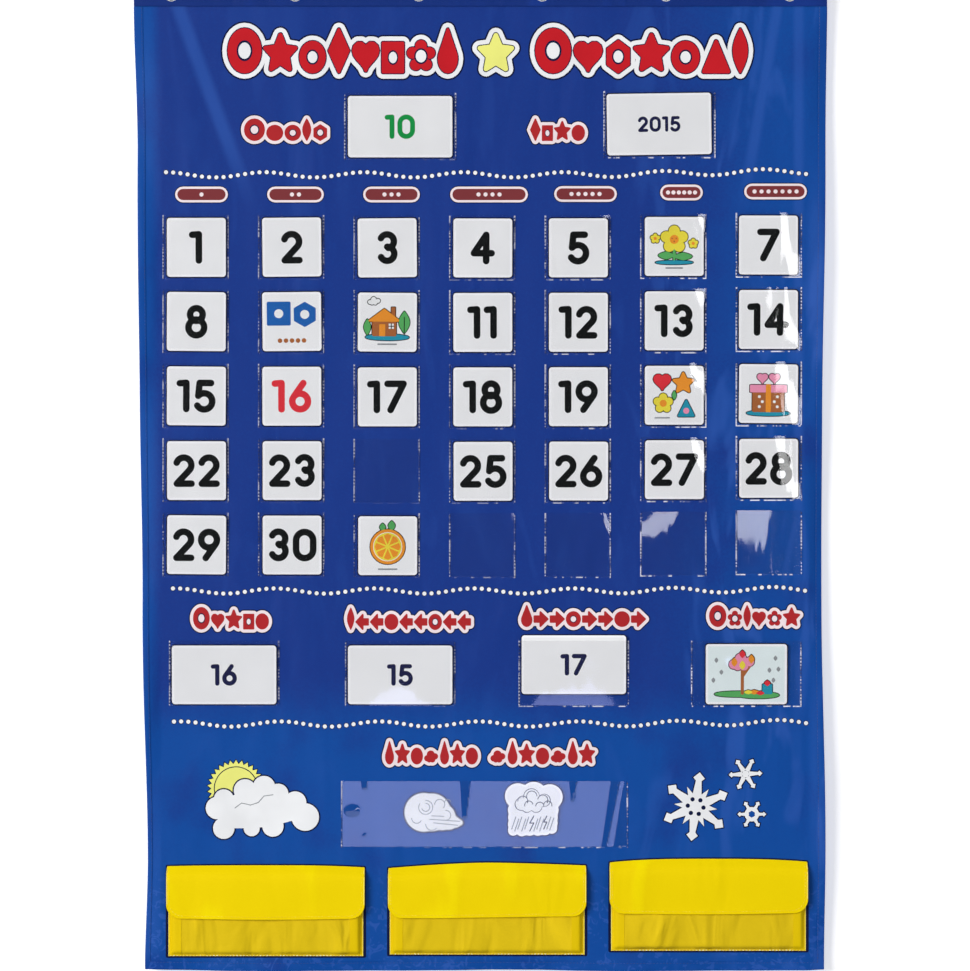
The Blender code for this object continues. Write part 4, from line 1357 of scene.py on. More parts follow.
def strokes(runs, width):
    """A function that draws straight strokes, given in squares from the card's middle."""

    def drawn(film):
        for run in runs:
            for start, end in zip(run, run[1:]):
                film.line([v * SQUARE for v in start], [v * SQUARE for v in end], width * SQUARE)

    return drawn


def picture(*parts):
    """Prints of a small picture: plain coloured shapes over their dark outlines, with fine lines on top."""
    outlined = [shape for ink, parts_shapes in parts if not callable(parts_shapes) for shape in parts_shapes]
    prints = [("Black print", shapes(outlined, 0.8))]
    return prints + [(ink, drawn if callable(drawn) else shapes(drawn)) for ink, drawn in parts]


def fruit_slices(film):
    """Eight wedges round the middle of a cut fruit."""
    middle = (0, -SQUARE)
    for angle in steps(0, 2 * math.pi, 8)[:-1]:
        corners = ((2, 0), (12, 0.33), (13, 0), (12, -0.33))
        film.face([turned(middle, reach * SQUARE, angle + aside) for reach, aside in corners])


# Middles of the dots on the right half of the parcel, and the pictures by row and column, in squares
PARCEL_DOTS = ((9, -3), (9, -13), (6, -8))
PICTURES = {
    (0, 5): picture(
        ("Leaf print", [("leaf", 0, -8, 1.6, 9), ("leaf", -8, -9, 8, 4), ("leaf", 9, -10, 9, 4)]),
        ("Teal print", [("disc", 0, -16, 19, 2)]),
        ("Yellow print", [("flower", 0, 7, 14), ("flower", -19, 8, 5), ("flower", 19, 3, 5)]),
        ("Orange print", [("disc", 0, 7, 4.5), ("disc", -19, 8, 1.6), ("disc", 19, 3, 1.6)]),
        ("Brown print", strokes([((-2, 8), (-2, 8)), ((2, 8), (2, 8)), ((0, 5), (0, 5))], 1.4)),
        ("Grey print", strokes([((-8, -21.5), (8, -21.5))], 1.6)),
    ),
    (1, 1): [
        ("Sky print", shapes([("square", -13, 8, 12), ("hexagon", 13, 7, 12.5)])),
        ("Paper print", shapes([("disc", -13, 8, 4.5), ("disc", 13, 7, 4.5)])),
        ("Brown print", shapes([("disc", across, -19, 2.3) for across in (-12, -6, 0, 6, 12)])),
    ],
    (1, 2): picture(
        ("Teal print", [("disc", 0, -15, 22, 3.2)]),
        ("Brown print", [("square", -3, -6, 12, 8), ("square", 6, 10, 2, 5)]),
        ("Orange print", [("triangle", -3, 7, 16, 6.5), ("square", -5, -8, 3, 6)]),
        ("Leaf print", [("leaf", 17, 0, 5.5, 11), ("leaf", -20, -5, 3.5, 8)]),
        ("Paper print", [("square", 4, -4, 2.6), ("cloud", -13, 21, 8, 5)]),
        ("Black print", strokes([((17, -13), (17, 5)), ((4, -6.6), (4, -1.4)), ((1.4, -4), (6.6, -4))], 0.9)),
        ("Grey print", strokes([((-9, -22), (9, -22))], 1.6)),
    ),
    (2, 5): picture(
        ("Red print", [("heart", -12, 13, 9)]),
        ("Orange print", [("star", 9, 12, 10.5)]),
        ("Yellow print", [("flower", -11, -8, 10)]),
        ("Teal print", [("triangle", 12, -13, 8.5)]),
        ("Pink print", [("disc", 12, -15.5, 3)]),
        ("Leaf print", [("leaf", 0, 0, 2.2, 4.5)]),
        ("Orange print", shapes([("disc", -11, -8, 3.5)])),
        ("Grey print", strokes([((18, 20), (22, 14)), ((-19, -22.5), (-5, -22.5))], 1.4)),
    ),
    (2, 6): picture(
        ("Teal print", [("disc", 0, -19.5, 22, 2.8)]),
        ("Brown print", [("square", 0, -8, 16, 10.5)]),
        ("Pink print", [("square", 0, 5, 18.5, 3.8), ("heart", -6, 15, 5.5), ("heart", 6, 15, 5.5)]),
        ("Orange print", shapes([("square", 0, -4.5, 2.6, 14)])),
        ("Paper print", shapes([("disc", side * x, z, 1.5) for x, z in PARCEL_DOTS for side in (-1, 1)])),
    ),
    (4, 2): picture(
        ("Leaf print", [("leaf", 4, 20, 3.5, 5), ("leaf", -5, 18.5, 3, 4)]),
        ("Orange print", [("disc", 0, -1, 17.5)]),
        ("Paper print", shapes([("disc", 0, -1, 14.6)])),
        ("Yellow print", shapes([("disc", 0, -1, 14)])),
        ("Orange print", fruit_slices),
        ("Grey print", strokes([((-9, -23.5), (9, -23.5))], 1.6)),
    ),
}


def add_day_card(name, row, column, prints):
    """A day card, a little to one side of its pocket and a little askew."""
    node_name = f"day_card_row{row + 1}_column{column + 1}"
    askew = ASKEW.get((row, column), 0.3 * noise.noise(Vector((row * 1.7, column * 2.3, 0.5))))
    lie = min(COLUMN_LIES[column] + ROW_LIES[row], 0.0011)
    add_card(name, node_name, DAY_CARD, DAY_CARD, prints, math.radians(askew), lie)


class CHART_OT_number_cards(PieceOperator, bpy.types.Operator):
    """Make the day cards with plain numbers"""

    bl_idname = "chart.number_cards"
    bl_label = "Number cards"

    def make(self):
        for row in range(DAY_ROWS):
            for column in range(DAY_COLUMNS):
                if (row, column) in EMPTY_PLACES + PICTURE_PLACES:
                    continue
                text = str(row * DAY_COLUMNS + column + 1)
                ink = "Red print" if (row, column) == RED_PLACE else "Black print"

                def drawn(film, text=text):
                    write_number(film, text, (0, 0), 1)

                add_day_card(f"number_{text}", row, column, [(ink, drawn)])


class CHART_OT_picture_cards(PieceOperator, bpy.types.Operator):
    """Make the day cards with plain pictures"""

    bl_idname = "chart.picture_cards"
    bl_label = "Picture cards"

    def make(self):
        for row, column in PICTURE_PLACES:
            add_day_card(f"picture_{row + 1}_{column + 1}", row, column, PICTURES[row, column])


class CHART_OT_wide_cards(PieceOperator, bpy.types.Operator):
    """Make the month, year, day and season cards"""

    bl_idname = "chart.wide_cards"
    bl_label = "Wide cards"

    def make(self):
        rows = (
            ("month_card", "10", "Green print", 0.066, 0.74, 0.0),
            ("year_card", "2015", "Blue print", 0.066, 0.47, math.radians(-0.8)),
            ("today_card", "16", "Blue print", DAY_CARD, 0.66, 0.0),
            ("yesterday_card", "15", "Blue print", DAY_CARD, 0.66, 0.0),
            ("tomorrow_card", "17", "Blue print", DAY_CARD, 0.66, 0.0),
        )
        for node_name, text, ink, height, scale, turn in rows:

            def drawn(film, text=text, scale=scale):
                write_number(film, text, (0, 0), scale)

            add_card(node_name + "_printed", node_name, WIDE_CARD, height, [(ink, drawn)], turn)
        leaves = ((-30, 14), (-25, 2), (-33, -6), (29, 16), (23, 4), (32, 5), (27, -6))
        season = picture(
            ("Leaf print", [("disc", -8, -20, 24, 3), ("disc", 12, -21, 21, 3.4)]),
            ("Brown print", strokes([((-4, -19), (-4, 4), (-12, 12)), ((-4, -2), (6, 12))], 3.2)),
            ("Pink print", [("cloud", -4, 12, 16, 11)]),
            ("Teal print", [("square", 21, -15, 5, 5)]),
            ("Orange print", [("leaf", -12, 12, 3, 4.5), ("leaf", 5, 15, 3, 4.5), ("leaf", 8, -18, 5, 2.4)]),
            ("Red print", [("leaf", -4, 20, 3, 4), ("leaf", 14, -19, 4, 2.2), ("leaf", 21, -9, 3, 3)]),
            ("Yellow print", [("leaf", -4, 9, 3, 4.5), ("leaf", 2, -18, 4, 2.2)]),
            ("Grey print", shapes([("leaf", x, z, 1.9, 2.6) for x, z in leaves])),
        )
        add_card("season_card_printed", "season_card", 0.087, 0.065, season, face="Mint card face")


# Outlines of the two weather cards, as discs in metres about the middle of each
WIND_CARD = (
    (-0.0103, 0, 0.022), (-0.002, 0, 0.0215), (0.009, -0.005, 0.0155), (0.016, -0.0095, 0.0105),
    (0.0225, -0.0105, 0.0075), (0.0272, -0.0108, 0.005),
)
RAIN_CARD = (
    (-0.0168, 0.0147, 0.0147), (0, 0.0163, 0.0147), (0.0168, 0.0137, 0.0147), (-0.0189, 0, 0.0095),
    (-0.02, -0.0075, 0.0082), (-0.021, -0.015, 0.0074), (-0.0215, -0.0215, 0.0068), (-0.0126, -0.0215, 0.0074),
    (-0.0042, -0.0205, 0.0078), (0.0042, -0.0205, 0.0078), (0.0116, -0.02, 0.0078), (0.0189, -0.0194, 0.0068),
    (0.0178, 0, 0.0095), (0.0184, -0.0075, 0.008), (0.0189, -0.0137, 0.0074),
)


class CHART_OT_weather_cards(PieceOperator, bpy.types.Operator):
    """Make the two small weather cards"""

    bl_idname = "chart.weather_cards"
    bl_label = "Weather cards"

    def make(self):

        def edge_line(discs, within):
            def drawn(film):
                film.face(outline(discs, -within * SQUARE))
            return drawn

        def curls(runs, width=0.8):
            """Arcs, each as its middle, its start and its degrees, in squares."""
            def drawn(film):
                for middle, start, degrees in runs:
                    film.arc([v * SQUARE for v in middle], [v * SQUARE for v in start], degrees, width * SQUARE)
            return drawn

        gusts = [((-8, 5), (-8, 12), 300), ((-8, 5), (-8, 9), 250), ((6, 8), (1, 8), 220), ((12, -3), (12, 2), 200),
                 ((-17, -6), (-22, -6), -150), ((-2, -12), (-8, -12), -140), ((14, 10), (11, 10), 170)]
        lines = [((-4, -7), (26, -9)), ((0, -10.5), (24, -13)), ((-2, -3.5), (10, -4))]
        wind = [
            ("Grey print", edge_line(WIND_CARD, 1.0)),
            ("Paper print", edge_line(WIND_CARD, 1.8)),
            ("Grey print", curls(gusts)),
            ("Grey print", strokes(lines, 0.8)),
        ]
        add_card("wind_card", "wind_cloud_card", 0.0646, 0.044, wind, outlined=outline(WIND_CARD, 0))

        puffs = [((-11, 9), (-16, 9), 200), ((-2, 14), (-7, 13), 190), ((9, 10), (4, 11), 200), ((-5, 5), (-9, 4), 180),
                 ((6, 4), (2, 4), 190), ((14, 5), (10, 6), 180)]
        drops = [((across, -7 - down), (across - 4, -19 - down)) for across, down in
                 ((-18, 0), (-15, 2), (-12, 0), (-8, 2), (-5, 0), (4, 2), (7, 0), (10, 2), (17, 0), (20, 1))]
        bolts = [((0, -6), (-4, -13), (0, -13), (-4, -21)), ((13, -6), (10, -12), (13, -12), (10, -19))]
        wet = [
            ("Black print", shapes([("cloud", 0, 9, 23, 15.6)])),
            ("Paper print", shapes([("cloud", 0, 9, 22.1, 14.7)])),
            ("Black print", curls(puffs)),
            ("Grey print", strokes(drops, 1.0)),
            ("Black print", strokes(bolts, 1.0)),
        ]
        add_card("rain_card", "rain_cloud_card", 0.0614, 0.0614, wet, outlined=outline(RAIN_CARD, 0))


# Prints on the cloth


def cloth_print(name, bm, finishes):
    bmesh.ops.translate(bm, verts=bm.verts, vec=(0, CLOTH_FRONT, 0))
    return add_piece(name, bm, finishes)


class CHART_OT_title(PieceOperator, bpy.types.Operator):
    """Print the row of large red shapes at the top"""

    bl_idname = "chart.title"
    bl_label = "Large shapes"

    def make(self):
        top, bottom = 28, 73.5
        layers = ((0, 6.8), (1, 5.2), (2, 0.9), (3, 0))
        bm = bmesh.new()
        row_of_shapes(bm, "ring star pearl diamond heart square flower drop", 227.5, 458, top, bottom, layers)
        row_of_shapes(bm, "star", 478, 516, top, bottom, (*layers[:3], (4, 0)))
        row_of_shapes(bm, "ring heart hexagon star pearl triangle leaf", 535, 748, top, bottom, layers)
        cloth_print("large_shapes", bm, ["Navy ink", "White ink", "Navy ink", "Red ink", "Pale yellow ink"])


class CHART_OT_labels(PieceOperator, bpy.types.Operator):
    """Print the labels: plain shapes above the cards and tally marks above the columns"""

    bl_idname = "chart.labels"
    bl_label = "Labels"

    def make(self):
        layers = ((0, 4.2), (1, 3.1), (2, 0))
        rows = (
            ("ring disc pearl leaf hexagon", 244, 328, 118.5, 141),
            ("diamond square star disc", 530, 585, 118.5, 141),
            ("ring heart star square disc", 193, 269, 607, 629.5),
            ("leaf left left disc left left pearl left left", 347, 471, 607.5, 630),
            ("drop right right pearl right right disc right", 521, 646, 605, 627),
            ("ring flower leaf heart flower star", 709, 800, 605, 627),
            ("drop star disc cloud drop star disc", 385, 478, 741, 764.5),
            ("cloud drop star disc cloud drop star", 490, 595, 741, 764.5),
        )
        bm = bmesh.new()
        for names, left, right, top, bottom in rows:
            row_of_shapes(bm, names, left, right, top, bottom, layers)
        cloth_print("labels", bm, ["Navy ink", "Pink ink", "Dark red ink"])
        spans = (
            (175, 228, 194.5), (267, 324, 194.5), (363, 420, 194.5), (450, 528, 194.5),
            (554, 617, 194), (660, 703, 192.5), (744, 807, 191.5),
        )
        bm = bmesh.new()
        for number, (left, right, middle) in enumerate(spans, 1):
            start, end = left + 8, right - 8
            for level, (finish_index, width) in enumerate(((0, 17.6), (1, 15.8), (2, 11.2))):
                printed = Print()
                printed.line(at(start, middle), at(end, middle), width * SQUARE)
                printed.stack(bm, finish_index, level)
            tally = Print()
            pitch = min(7.0, (end - start) / max(number - 1, 1))
            for index in range(number):
                place = at((start + end) / 2 + (index - (number - 1) / 2) * pitch, middle)
                tally.disc(*place, 2.1 * SQUARE, 14)
            tally.stack(bm, 1, 3)
        cloth_print("day_labels", bm, ["Navy ink", "Pink ink", "Maroon ink"])


class CHART_OT_dotted_lines(PieceOperator, bpy.types.Operator):
    """Print the three wavy lines of dots"""

    bl_idname = "chart.dotted_lines"
    bl_label = "Dotted lines"

    def make(self):
        size = sizes()
        lines = ((166, 806, 174.8, 265, 3.2), (173, 805, 591, 275, 1.5), (174, 806, 724, 280, 1.5))
        bm = bmesh.new()
        for left, right, middle, crest, rise in lines:
            count = round((right - left) * SQUARE / size.dot_pitch)
            shadow, dots = Print(), Print()
            for index in range(count + 1):
                across = left + (right - left) * index / count
                wave = 2.6 * math.cos(2 * math.pi * (across - crest) / 99.5)
                lift = rise * ease((across - 560) / 240)
                x, z = at(across, middle - wave - lift)
                shadow.disc(x, z, size.dot_width * 0.66, 12)
                dots.disc(x, z, size.dot_width / 2, 12)
            shadow.add_to(bm, 0, 0, size.film * 2)
            dots.add_to(bm, 1, size.film, size.film * 2)
        cloth_print("dotted_lines", bm, ["Navy ink", "White ink"])


class CHART_OT_weather_prints(PieceOperator, bpy.types.Operator):
    """Print the sun behind a cloud and the snow crystals"""

    bl_idname = "chart.weather_prints"
    bl_label = "Sun, cloud and snow"

    def sun(self, bm):
        x, z = at(236, 788.5)
        for level, (finish_index, grow) in enumerate(((0, 1.4), (1, 0))):
            printed = Print()
            rays = round_points(60, (28.5 + grow) * SQUARE, inner=(24.5 + grow) * SQUARE)
            printed.face([(x + across, z + up) for across, up in rays])
            printed.stack(bm, finish_index, level)
        printed = Print()
        printed.arc((x, z), turned((x, z), 21.7 * SQUARE, math.radians(-120)), 200, 0.9 * SQUARE)
        printed.stack(bm, 0, 2)

    def cloud(self, bm):
        lumps = (
            (217, 808, 11.2), (223.8, 828.2, 10.7), (251.7, 828.2, 8), (272.9, 826, 10.7), (305.2, 817, 13.8),
            (295.2, 802.5, 11.2), (278.4, 793.6, 10), (264, 787, 11.2), (245, 790.3, 11.2), (223.8, 799.2, 10),
        )
        for level, (finish_index, grow) in enumerate(((0, 1.3), (2, 0))):
            printed = Print()
            printed.face([at(across, down) for across, down, radius in reversed(lumps)])
            for across, down, radius in lumps:
                printed.disc(*at(across, down), (radius + grow) * SQUARE, 36)
            printed.stack(bm, finish_index, 3 + level)
        printed = Print()
        swirl = [at(235, 808), at(241.6, 803), at(250.5, 805), at(258.3, 802.5), at(264, 796), at(273, 794.7)]
        for start, end in zip(swirl, swirl[1:]):
            printed.line(start, end, 0.9 * SQUARE)
        printed.stack(bm, 3, 5)

    def crystal(self, bm, across, down, reach, turn, middle):
        """Six tapered arms with a kite at each end, round a star, a disc or an open middle."""
        place = at(across, down)
        arms = [math.radians(turn + 60 * index) for index in range(6)]
        for level, (finish_index, grow) in enumerate(((0, 1.2), (2, 0))):
            printed = Print()
            if middle == "star":
                outer, inner = ((share * reach + grow) * SQUARE for share in (0.6, 0.33))
                star = round_points(24, outer, math.radians(turn), inner)
                printed.face([(place[0] + x, place[1] + z) for x, z in star])
            elif middle == "disc":
                printed.disc(*place, (0.2 * reach + grow) * SQUARE)
            else:
                printed.ring(place, 0.38 * reach * SQUARE, (0.2 * reach + 2 * grow) * SQUARE)
            for arm in arms:
                root, tip = turned(place, 0.2 * reach * SQUARE, arm), turned(place, 0.8 * reach * SQUARE, arm)
                wide, narrow = ((share * reach + grow) * SQUARE for share in (0.14, 0.07))
                ends = ((root, wide, -90), (tip, narrow, -90), (tip, narrow, 90), (root, wide, 90))
                printed.face([turned(spot, half, arm + math.radians(side)) for spot, half, side in ends])
                kite = (0.16 * reach + grow * 1.3) * SQUARE
                printed.face([turned(tip, kite, arm + math.radians(side)) for side in (0, 90, 180, 270)])
            printed.stack(bm, finish_index, level)
        if middle == "star":
            printed = Print()
            for arm in arms:
                printed.disc(*turned(place, 0.22 * reach * SQUARE, arm + math.radians(30)), 2.2 * SQUARE, 12)
            printed.stack(bm, 0, 2)

    def make(self):
        bm = bmesh.new()
        self.sun(bm)
        self.cloud(bm)
        cloth_print("sun_and_cloud", bm, ["Navy ink", "Pale yellow ink", "White ink", "Grey print"])
        bm = bmesh.new()
        self.crystal(bm, 695.6, 806.6, 36, 7, "star")
        self.crystal(bm, 745.5, 774, 17.5, 27, "disc")
        self.crystal(bm, 751.8, 814.2, 15, 30, "open")
        cloth_print("snow_crystals", bm, ["Navy ink", "Navy ink", "White ink"])


# Storage pockets


# How far a storage pocket stands off the cloth and the most it may, and lines near its edges, where it swells
STORAGE_SWELL, STORAGE_DEPTH = 0.0042, 0.0062
SWELL_LINES = (0.0015, 0.003, 0.0045, 0.0062, 0.0085)


class CHART_OT_storage(PieceOperator, bpy.types.Operator):
    """Make the yellow cloth bodies of the storage pockets"""

    bl_idname = "chart.storage"
    bl_label = "Storage pockets"

    def place(self, side):
        """A function from a place on the pocket's front to its point in space."""
        low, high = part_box(f"storage_pocket_{side}")
        centre, half, height = (low.x + high.x) / 2, (high.x - low.x) / 2 + 0.001, high.z - low.z
        seed = {"left": 1.7, "middle": 5.1, "right": 9.4}[side]

        def point(x, level, off=0.0):
            edge = min(half - abs(x), level)
            swell = ease((edge - 0.001) / 0.0045)
            crease = noise.noise(Vector((x * 26 + seed, level * 20, seed))) * 0.0009
            crease += noise.noise(Vector((x * 60 + level * 25, level * 18, seed + 4))) * 0.0005
            mouth = math.sin(math.pi * min(level / height, 1) / 2)
            forward = GAP + swell * (STORAGE_SWELL + 0.0008 * mouth + crease) + off
            return Vector((centre + x, CLOTH_FRONT - min(forward, STORAGE_DEPTH + off), low.z + level))

        return point, half, height

    def make(self):
        size = sizes()
        for side in SIDES:
            point, half, height = self.place(side)
            left = [-half, *(line - half for line in SWELL_LINES)]
            across = left + steps(0.012 - half, half - 0.012, 44) + [-x for x in reversed(left)]
            up = [*SWELL_LINES, *steps(0.012, height, 18)]
            bm = lined(across, [0, *up], point)
            thicken(bm, STORAGE_WALL)
            body = add_piece(
                f"storage_cloth_{side}", bm, ["Yellow nylon"], replaced=[f"storage_pocket_{side}"]
            )
            bands = bmesh.new()
            for way in (-1, 1):
                outer, inner = way * (half + 0.0002), way * (half - size.side_band)
                xs = sorted([outer, inner + way * 0.0006, inner, *(way * (half - line) for line in SWELL_LINES)])
                band = lined(xs, [0.0002, *up], lambda x, level: point(x, level, 0.00035))
                thicken(band, BAND_WALL)
                pour(band, bands)
            add_piece(f"storage_bands_{side}", bands, ["Yellow band"])
            bound = bmesh.new()
            for way in (-1, 1):
                tube(bound, [point(way * half, level, 0.0002) for level in steps(0, height, 8)], size.binding * 0.8)
            bmesh.ops.recalc_face_normals(bound, faces=bound.faces)
            add_piece(f"storage_binding_{side}", bound, ["Flap binding"])
            sewn = bmesh.new()
            sew(sewn, [point(x, 0.0005, 0.0001) for x in steps(-half, half, 20)], size.pocket_thread)
            add_piece(f"storage_stitches_{side}", sewn, ["Cream thread"])


# How far the left end, the middle and the right end of a flap's top edge hang above its fold line
FLAP_TOPS = {
    "left": (-0.001, 0, -0.0022),
    "middle": (-0.0046, 0.0012, -0.0018),
    "right": (-0.0026, 0.0012, -0.0019),
}

# How far down a flap its bends lie, and how far off the cloth it is there and at its lower edge
FLAP_BENDS = (0, 0.0095, 0.0145, 0.021)
FLAP_DEPTHS = (GAP, 0.0062, 0.0071, 0.0073, 0.0069)


class CHART_OT_flaps(PieceOperator, bpy.types.Operator):
    """Make the flaps of the storage pockets with their bound edges, and a painted shadow line round each pocket"""

    bl_idname = "chart.flaps"
    bl_label = "Flaps"

    def shape(self, side):
        """The flap's size, and a function from a place on it to its point in space."""
        low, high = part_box(f"storage_flap_{side}")
        half, centre = (high.x - low.x) / 2, (low.x + high.x) / 2
        top = high.z - 0.0004
        drop_all = top - low.z
        seed = {"left": 2.3, "middle": 6.2, "right": 11.9}[side]
        left_end, crown, right_end = FLAP_TOPS[side]
        bow = 1.5 if side == "middle" else 3

        def point(x, drop, off=0.0):
            bent = eased((*FLAP_BENDS, drop_all), FLAP_DEPTHS, drop)
            wave = noise.noise(Vector((x * 22 + seed, drop * 14, seed))) * 0.0006 * ease(drop / 0.02)
            ripple = 0.0006 * math.sin(x * 45 + seed) * ease((drop - 0.03) / 0.02)
            sag = 0.0009 * math.sin(x * 19 + seed * 2) * ease(drop / 0.03)
            end = left_end if x < 0 else right_end
            sag += (crown + (end - crown) * (abs(x) / half) ** bow) * (1 - ease(drop / 0.03))
            return Vector((centre + x, CLOTH_FRONT - bent - max(wave + ripple, -0.0001) - off, top - drop + sag))

        return half, drop_all, point

    def make(self):
        size = sizes()
        corner = size.flap_corner
        for side in SIDES:
            half, drop_all, point = self.shape(side)
            straight = drop_all - corner  # how far down the corners start

            def half_at(drop):
                into = drop - straight
                if into <= 0:
                    return half
                return half - corner + math.sqrt(max(corner * corner - into * into, 0))

            drops = [0, 0.004, 0.008, 0.0095, 0.012, 0.0145, 0.018] + steps(0.021, straight, 6)
            drops += [straight + corner * math.sin(a) for a in steps(0, math.pi / 2, 10)[1:]]
            rows = len(drops) - 1

            def place(u, v):
                drop = drops[rows - round(v * rows)]
                return point((u * 2 - 1) * half_at(drop), drop)

            bm = lofted(46, rows, place)
            thicken(bm, FLAP_WALL, BACK)
            node_name = f"storage_flap_{side}"
            flap = add_piece(
                f"flap_cloth_{side}", bm, ["Flap nylon"], body=node_name, replaced=[node_name]
            )
            rim = [(-half, drop) for drop in steps(0.002, straight, 10)]
            for angle in steps(0, math.pi / 2, 8)[1:]:
                rim.append((corner - half - corner * math.cos(angle), straight + corner * math.sin(angle)))
            right_rim = [(-x, drop) for x, drop in reversed(rim[:-1])]
            rim += [(x, drop_all) for x in steps(corner - half, half - corner, 30)[1:]] + right_rim
            sides = [(-half, drop) for drop in steps(straight, 0.001, 8)]
            sides += [(x, 0.0006) for x in steps(-half, half, 24)[1:-1]]
            sides += [(half, drop) for drop in steps(0.001, straight, 8)]
            bound = bmesh.new()
            for run, finish_index in ((sides, 0), (rim[10:-10], 1)):
                edge = bmesh.new()
                tube(edge, [point(x, drop, 0.0003) for x, drop in run], size.binding)
                bmesh.ops.recalc_face_normals(edge, faces=edge.faces)
                pour(edge, bound, finish_index=finish_index)
            bound_edges = ["Flap binding", "Flap nylon"]
            add_piece(f"flap_binding_{side}", bound, bound_edges, body=node_name)
            # Painted shadow: a navy line printed on the cloth round each storage pocket stands in for the shade at its
            # edges.
            crest = [(spot.x, spot.z) for spot in (point(x, 0) for x in steps(half, -half, 24))]
            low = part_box(f"storage_pocket_{side}")[0].z
            frame = [*crest, (crest[-1][0], low), (crest[0][0], low), crest[0]]
            shade = Print()
            for start, end in zip(frame, frame[1:]):
                shade.line(start, end, size.pocket_line)
            edge = bmesh.new()
            shade.add_to(edge, 0, 0, size.film * 4)
            cloth_print(f"pocket_shadow_line_{side}", edge, ["Navy ink"])
            sewn = bmesh.new()
            sew(sewn, [point(x, 0.0016, 0.0008) for x in steps(0.002 - half, half - 0.002, 30)])
            inside = 1 - 0.0024 / half
            run = [(x * inside, drop - 0.0022 * (drop > straight)) for x, drop in rim]
            sew(sewn, [point(x, drop, 0.0008) for x, drop in run])
            add_piece(f"flap_stitches_{side}", sewn, ["Yellow thread"], body=node_name)


# Stage

# How far behind the cloth's place the wall stands, how deep the floor is, and how high they lie and reach
WALL_BACK = 0.011
FLOOR_DEPTH = 1.8
FLOOR_LEVEL, WALL_TOP = -1.3, 1.6

# The middle and the width of what the camera sees, in squares
VIEW_MIDDLE = (485, 485.5)
VIEW_WIDTH = 970


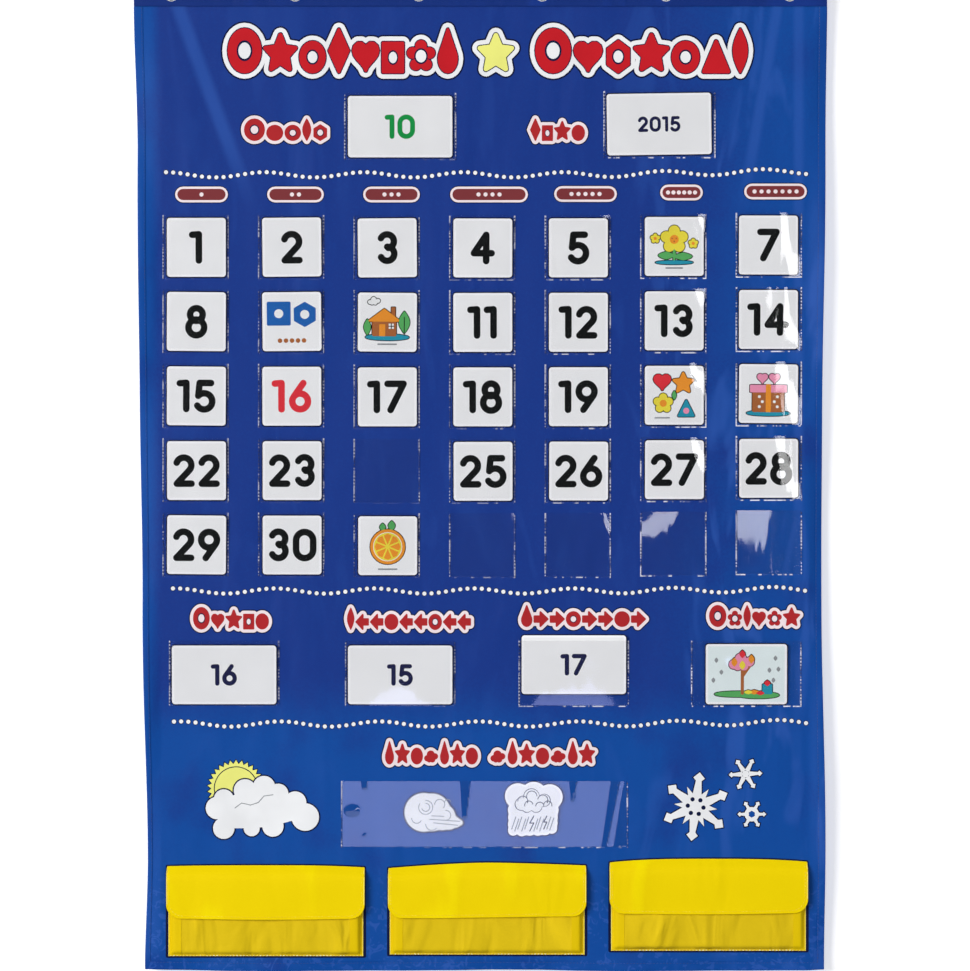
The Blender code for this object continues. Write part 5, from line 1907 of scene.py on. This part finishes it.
class CHART_OT_stage(PieceOperator, bpy.types.Operator):
    """Make the white wall, the floor, the lamps, the world and the camera"""

    bl_idname = "chart.stage"
    bl_label = "Stage"

    def backdrop_material(self):
        """White as the camera, gloss and glass see it, darker in shadow, and open from behind."""
        made, tree, shader = new_material("Backdrop")
        grain = use_group(tree, fine_grain, Size=0.01)
        white = two_colours(tree, (0.88, 0.88, 0.88), (0.9, 0.9, 0.9), grain.outputs["Tone"])
        light = node(tree, "LightPath").outputs
        seen = maths(tree, "MAXIMUM", light["Is Camera Ray"], light["Is Glossy Ray"])
        seen = maths(tree, "MAXIMUM", seen, light["Is Transmission Ray"])
        glow = maths(tree, "MULTIPLY", seen, 0.42)
        fill(shader, Base_Color=white, Roughness=0.9, Specular_IOR_Level=0)
        fill(shader, Emission_Color=(1, 1, 0.99, 1), Emission_Strength=glow)
        front = maths(tree, "SUBTRACT", 1.0, node(tree, "NewGeometry").outputs["Backfacing"])
        shown = maths(tree, "MULTIPLY", seen, front)
        mix_shaders(tree, shown, node(tree, "BsdfTransparent"), shader)
        return made

    def lamp(self, name, place, target, width, height, power, tint=(1, 1, 1)):
        data = bpy.data.lights.new(name, "AREA")
        data.shape = "RECTANGLE"
        data.size, data.size_y = width, height
        data.energy = power
        data.color = tint
        made = add_object(name, data)
        made.location = place
        made.rotation_euler = (Vector(target) - Vector(place)).to_track_quat("-Z", "Y").to_euler()
        made.visible_camera = False

    def make(self):
        bm = bmesh.new()
        bmesh.ops.create_grid(bm, x_segments=1, y_segments=1, size=0.5)
        for vertex in bm.verts:
            vertex.co = Vector((vertex.co.x * 6, WALL_BACK, FLOOR_LEVEL if vertex.co.y < 0 else WALL_TOP))
        rim = [edge for edge in bm.edges if all(vertex.co.z < 0 for vertex in edge.verts)]
        pull(bm, bmesh.ops.extrude_edge_only(bm, edges=rim), (0, -FLOOR_DEPTH, 0))
        backdrop = add_object("backdrop", mesh_of("backdrop", bm))
        backdrop.data.materials.append(self.backdrop_material())

        middle = (0, 0, -0.5)
        self.lamp("key", (-4.4, -5.2, 1.0), middle, 3.4, 3.4, 398)
        self.lamp("fill", (1.9, -2.4, 0.1), middle, 1.6, 1.6, 13)
        self.lamp("back", (0.3, 2.4, 0.2), middle, 1.6, 1.6, 50)
        self.lamp("softbox", (0.74, -3.4, -0.62), (0.25, 0, -0.45), 0.12, 1.05, 2.2)
        self.lamp("haze", (0, -2.0, -1.19), (0, 0, -0.86), 0.6, 0.28, 1.72, (0.52, 0.575, 1.0))

        world = bpy.data.worlds.new("Studio")
        bpy.context.scene.world = world
        world.use_nodes = True
        tree = world.node_tree
        light = node(tree, "LightPath").outputs
        way = node(tree, "SeparateXYZ", Vector=node(tree, "TexCoord").outputs["Generated"])
        room = ramp(tree, way.outputs["Y"], -0.9, -0.3, 0.04, 1.0)
        mirrored = maths(tree, "MAXIMUM", light["Is Glossy Ray"], light["Is Transmission Ray"])
        seen = maths(tree, "MAXIMUM", light["Is Camera Ray"], maths(tree, "MULTIPLY", mirrored, room))
        plain = maths(tree, "SUBTRACT", 1.0, mirrored)
        strength = maths(tree, "MAXIMUM", seen, maths(tree, "MULTIPLY", plain, 0.28))
        fill(tree.nodes["Background"], Color=(1, 1, 1, 1), Strength=strength)

        data = bpy.data.cameras.new("camera")
        data.lens = 120
        data.sensor_width = 36
        data.sensor_fit = "HORIZONTAL"
        data.clip_end = 50
        camera = add_object("camera", data)
        centre_x, centre_z = at(*VIEW_MIDDLE)
        distance = VIEW_WIDTH * SQUARE * data.lens / data.sensor_width
        camera.location = (centre_x, CLOTH_FRONT - distance, centre_z)
        camera.rotation_euler = (math.pi / 2, 0, 0)
        bpy.context.scene.camera = camera
        bpy.context.scene.view_settings.view_transform = "Standard"


OPERATORS = (
    CHART_OT_cloth,
    CHART_OT_hems,
    CHART_OT_eyelets,
    CHART_OT_header,
    CHART_OT_day_pockets,
    CHART_OT_wide_pockets,
    CHART_OT_number_cards,
    CHART_OT_picture_cards,
    CHART_OT_wide_cards,
    CHART_OT_weather_cards,
    CHART_OT_title,
    CHART_OT_labels,
    CHART_OT_dotted_lines,
    CHART_OT_weather_prints,
    CHART_OT_storage,
    CHART_OT_flaps,
    CHART_OT_stage,
)


class CHART_PT_panel(bpy.types.Panel):
    """Pieces of the pocket chart"""

    bl_idname = "CHART_PT_panel"
    bl_label = "Pocket chart"
    bl_space_type = "VIEW_3D"
    bl_region_type = "UI"
    bl_category = "Pocket chart"

    def draw(self, context):
        for operator in OPERATORS:
            self.layout.operator(operator.bl_idname)
        for group in (context.scene.chart_sizes, context.scene.chart_colours):
            for name in group.__annotations__:
                self.layout.prop(group, name)


CLASSES = (ChartSizes, ChartColours, *OPERATORS, CHART_PT_panel)


def register():
    for made in CLASSES:
        bpy.utils.register_class(made)
    bpy.types.Scene.chart_sizes = PointerProperty(type=ChartSizes)
    bpy.types.Scene.chart_colours = PointerProperty(type=ChartColours)


def unregister():
    del bpy.types.Scene.chart_colours
    del bpy.types.Scene.chart_sizes
    for made in reversed(CLASSES):
        bpy.utils.unregister_class(made)


def main():
    register()
    for operator in OPERATORS:
        group, name = operator.bl_idname.split(".")
        getattr(getattr(bpy.ops, group), name)()


if __name__ == "__main__":
    main()
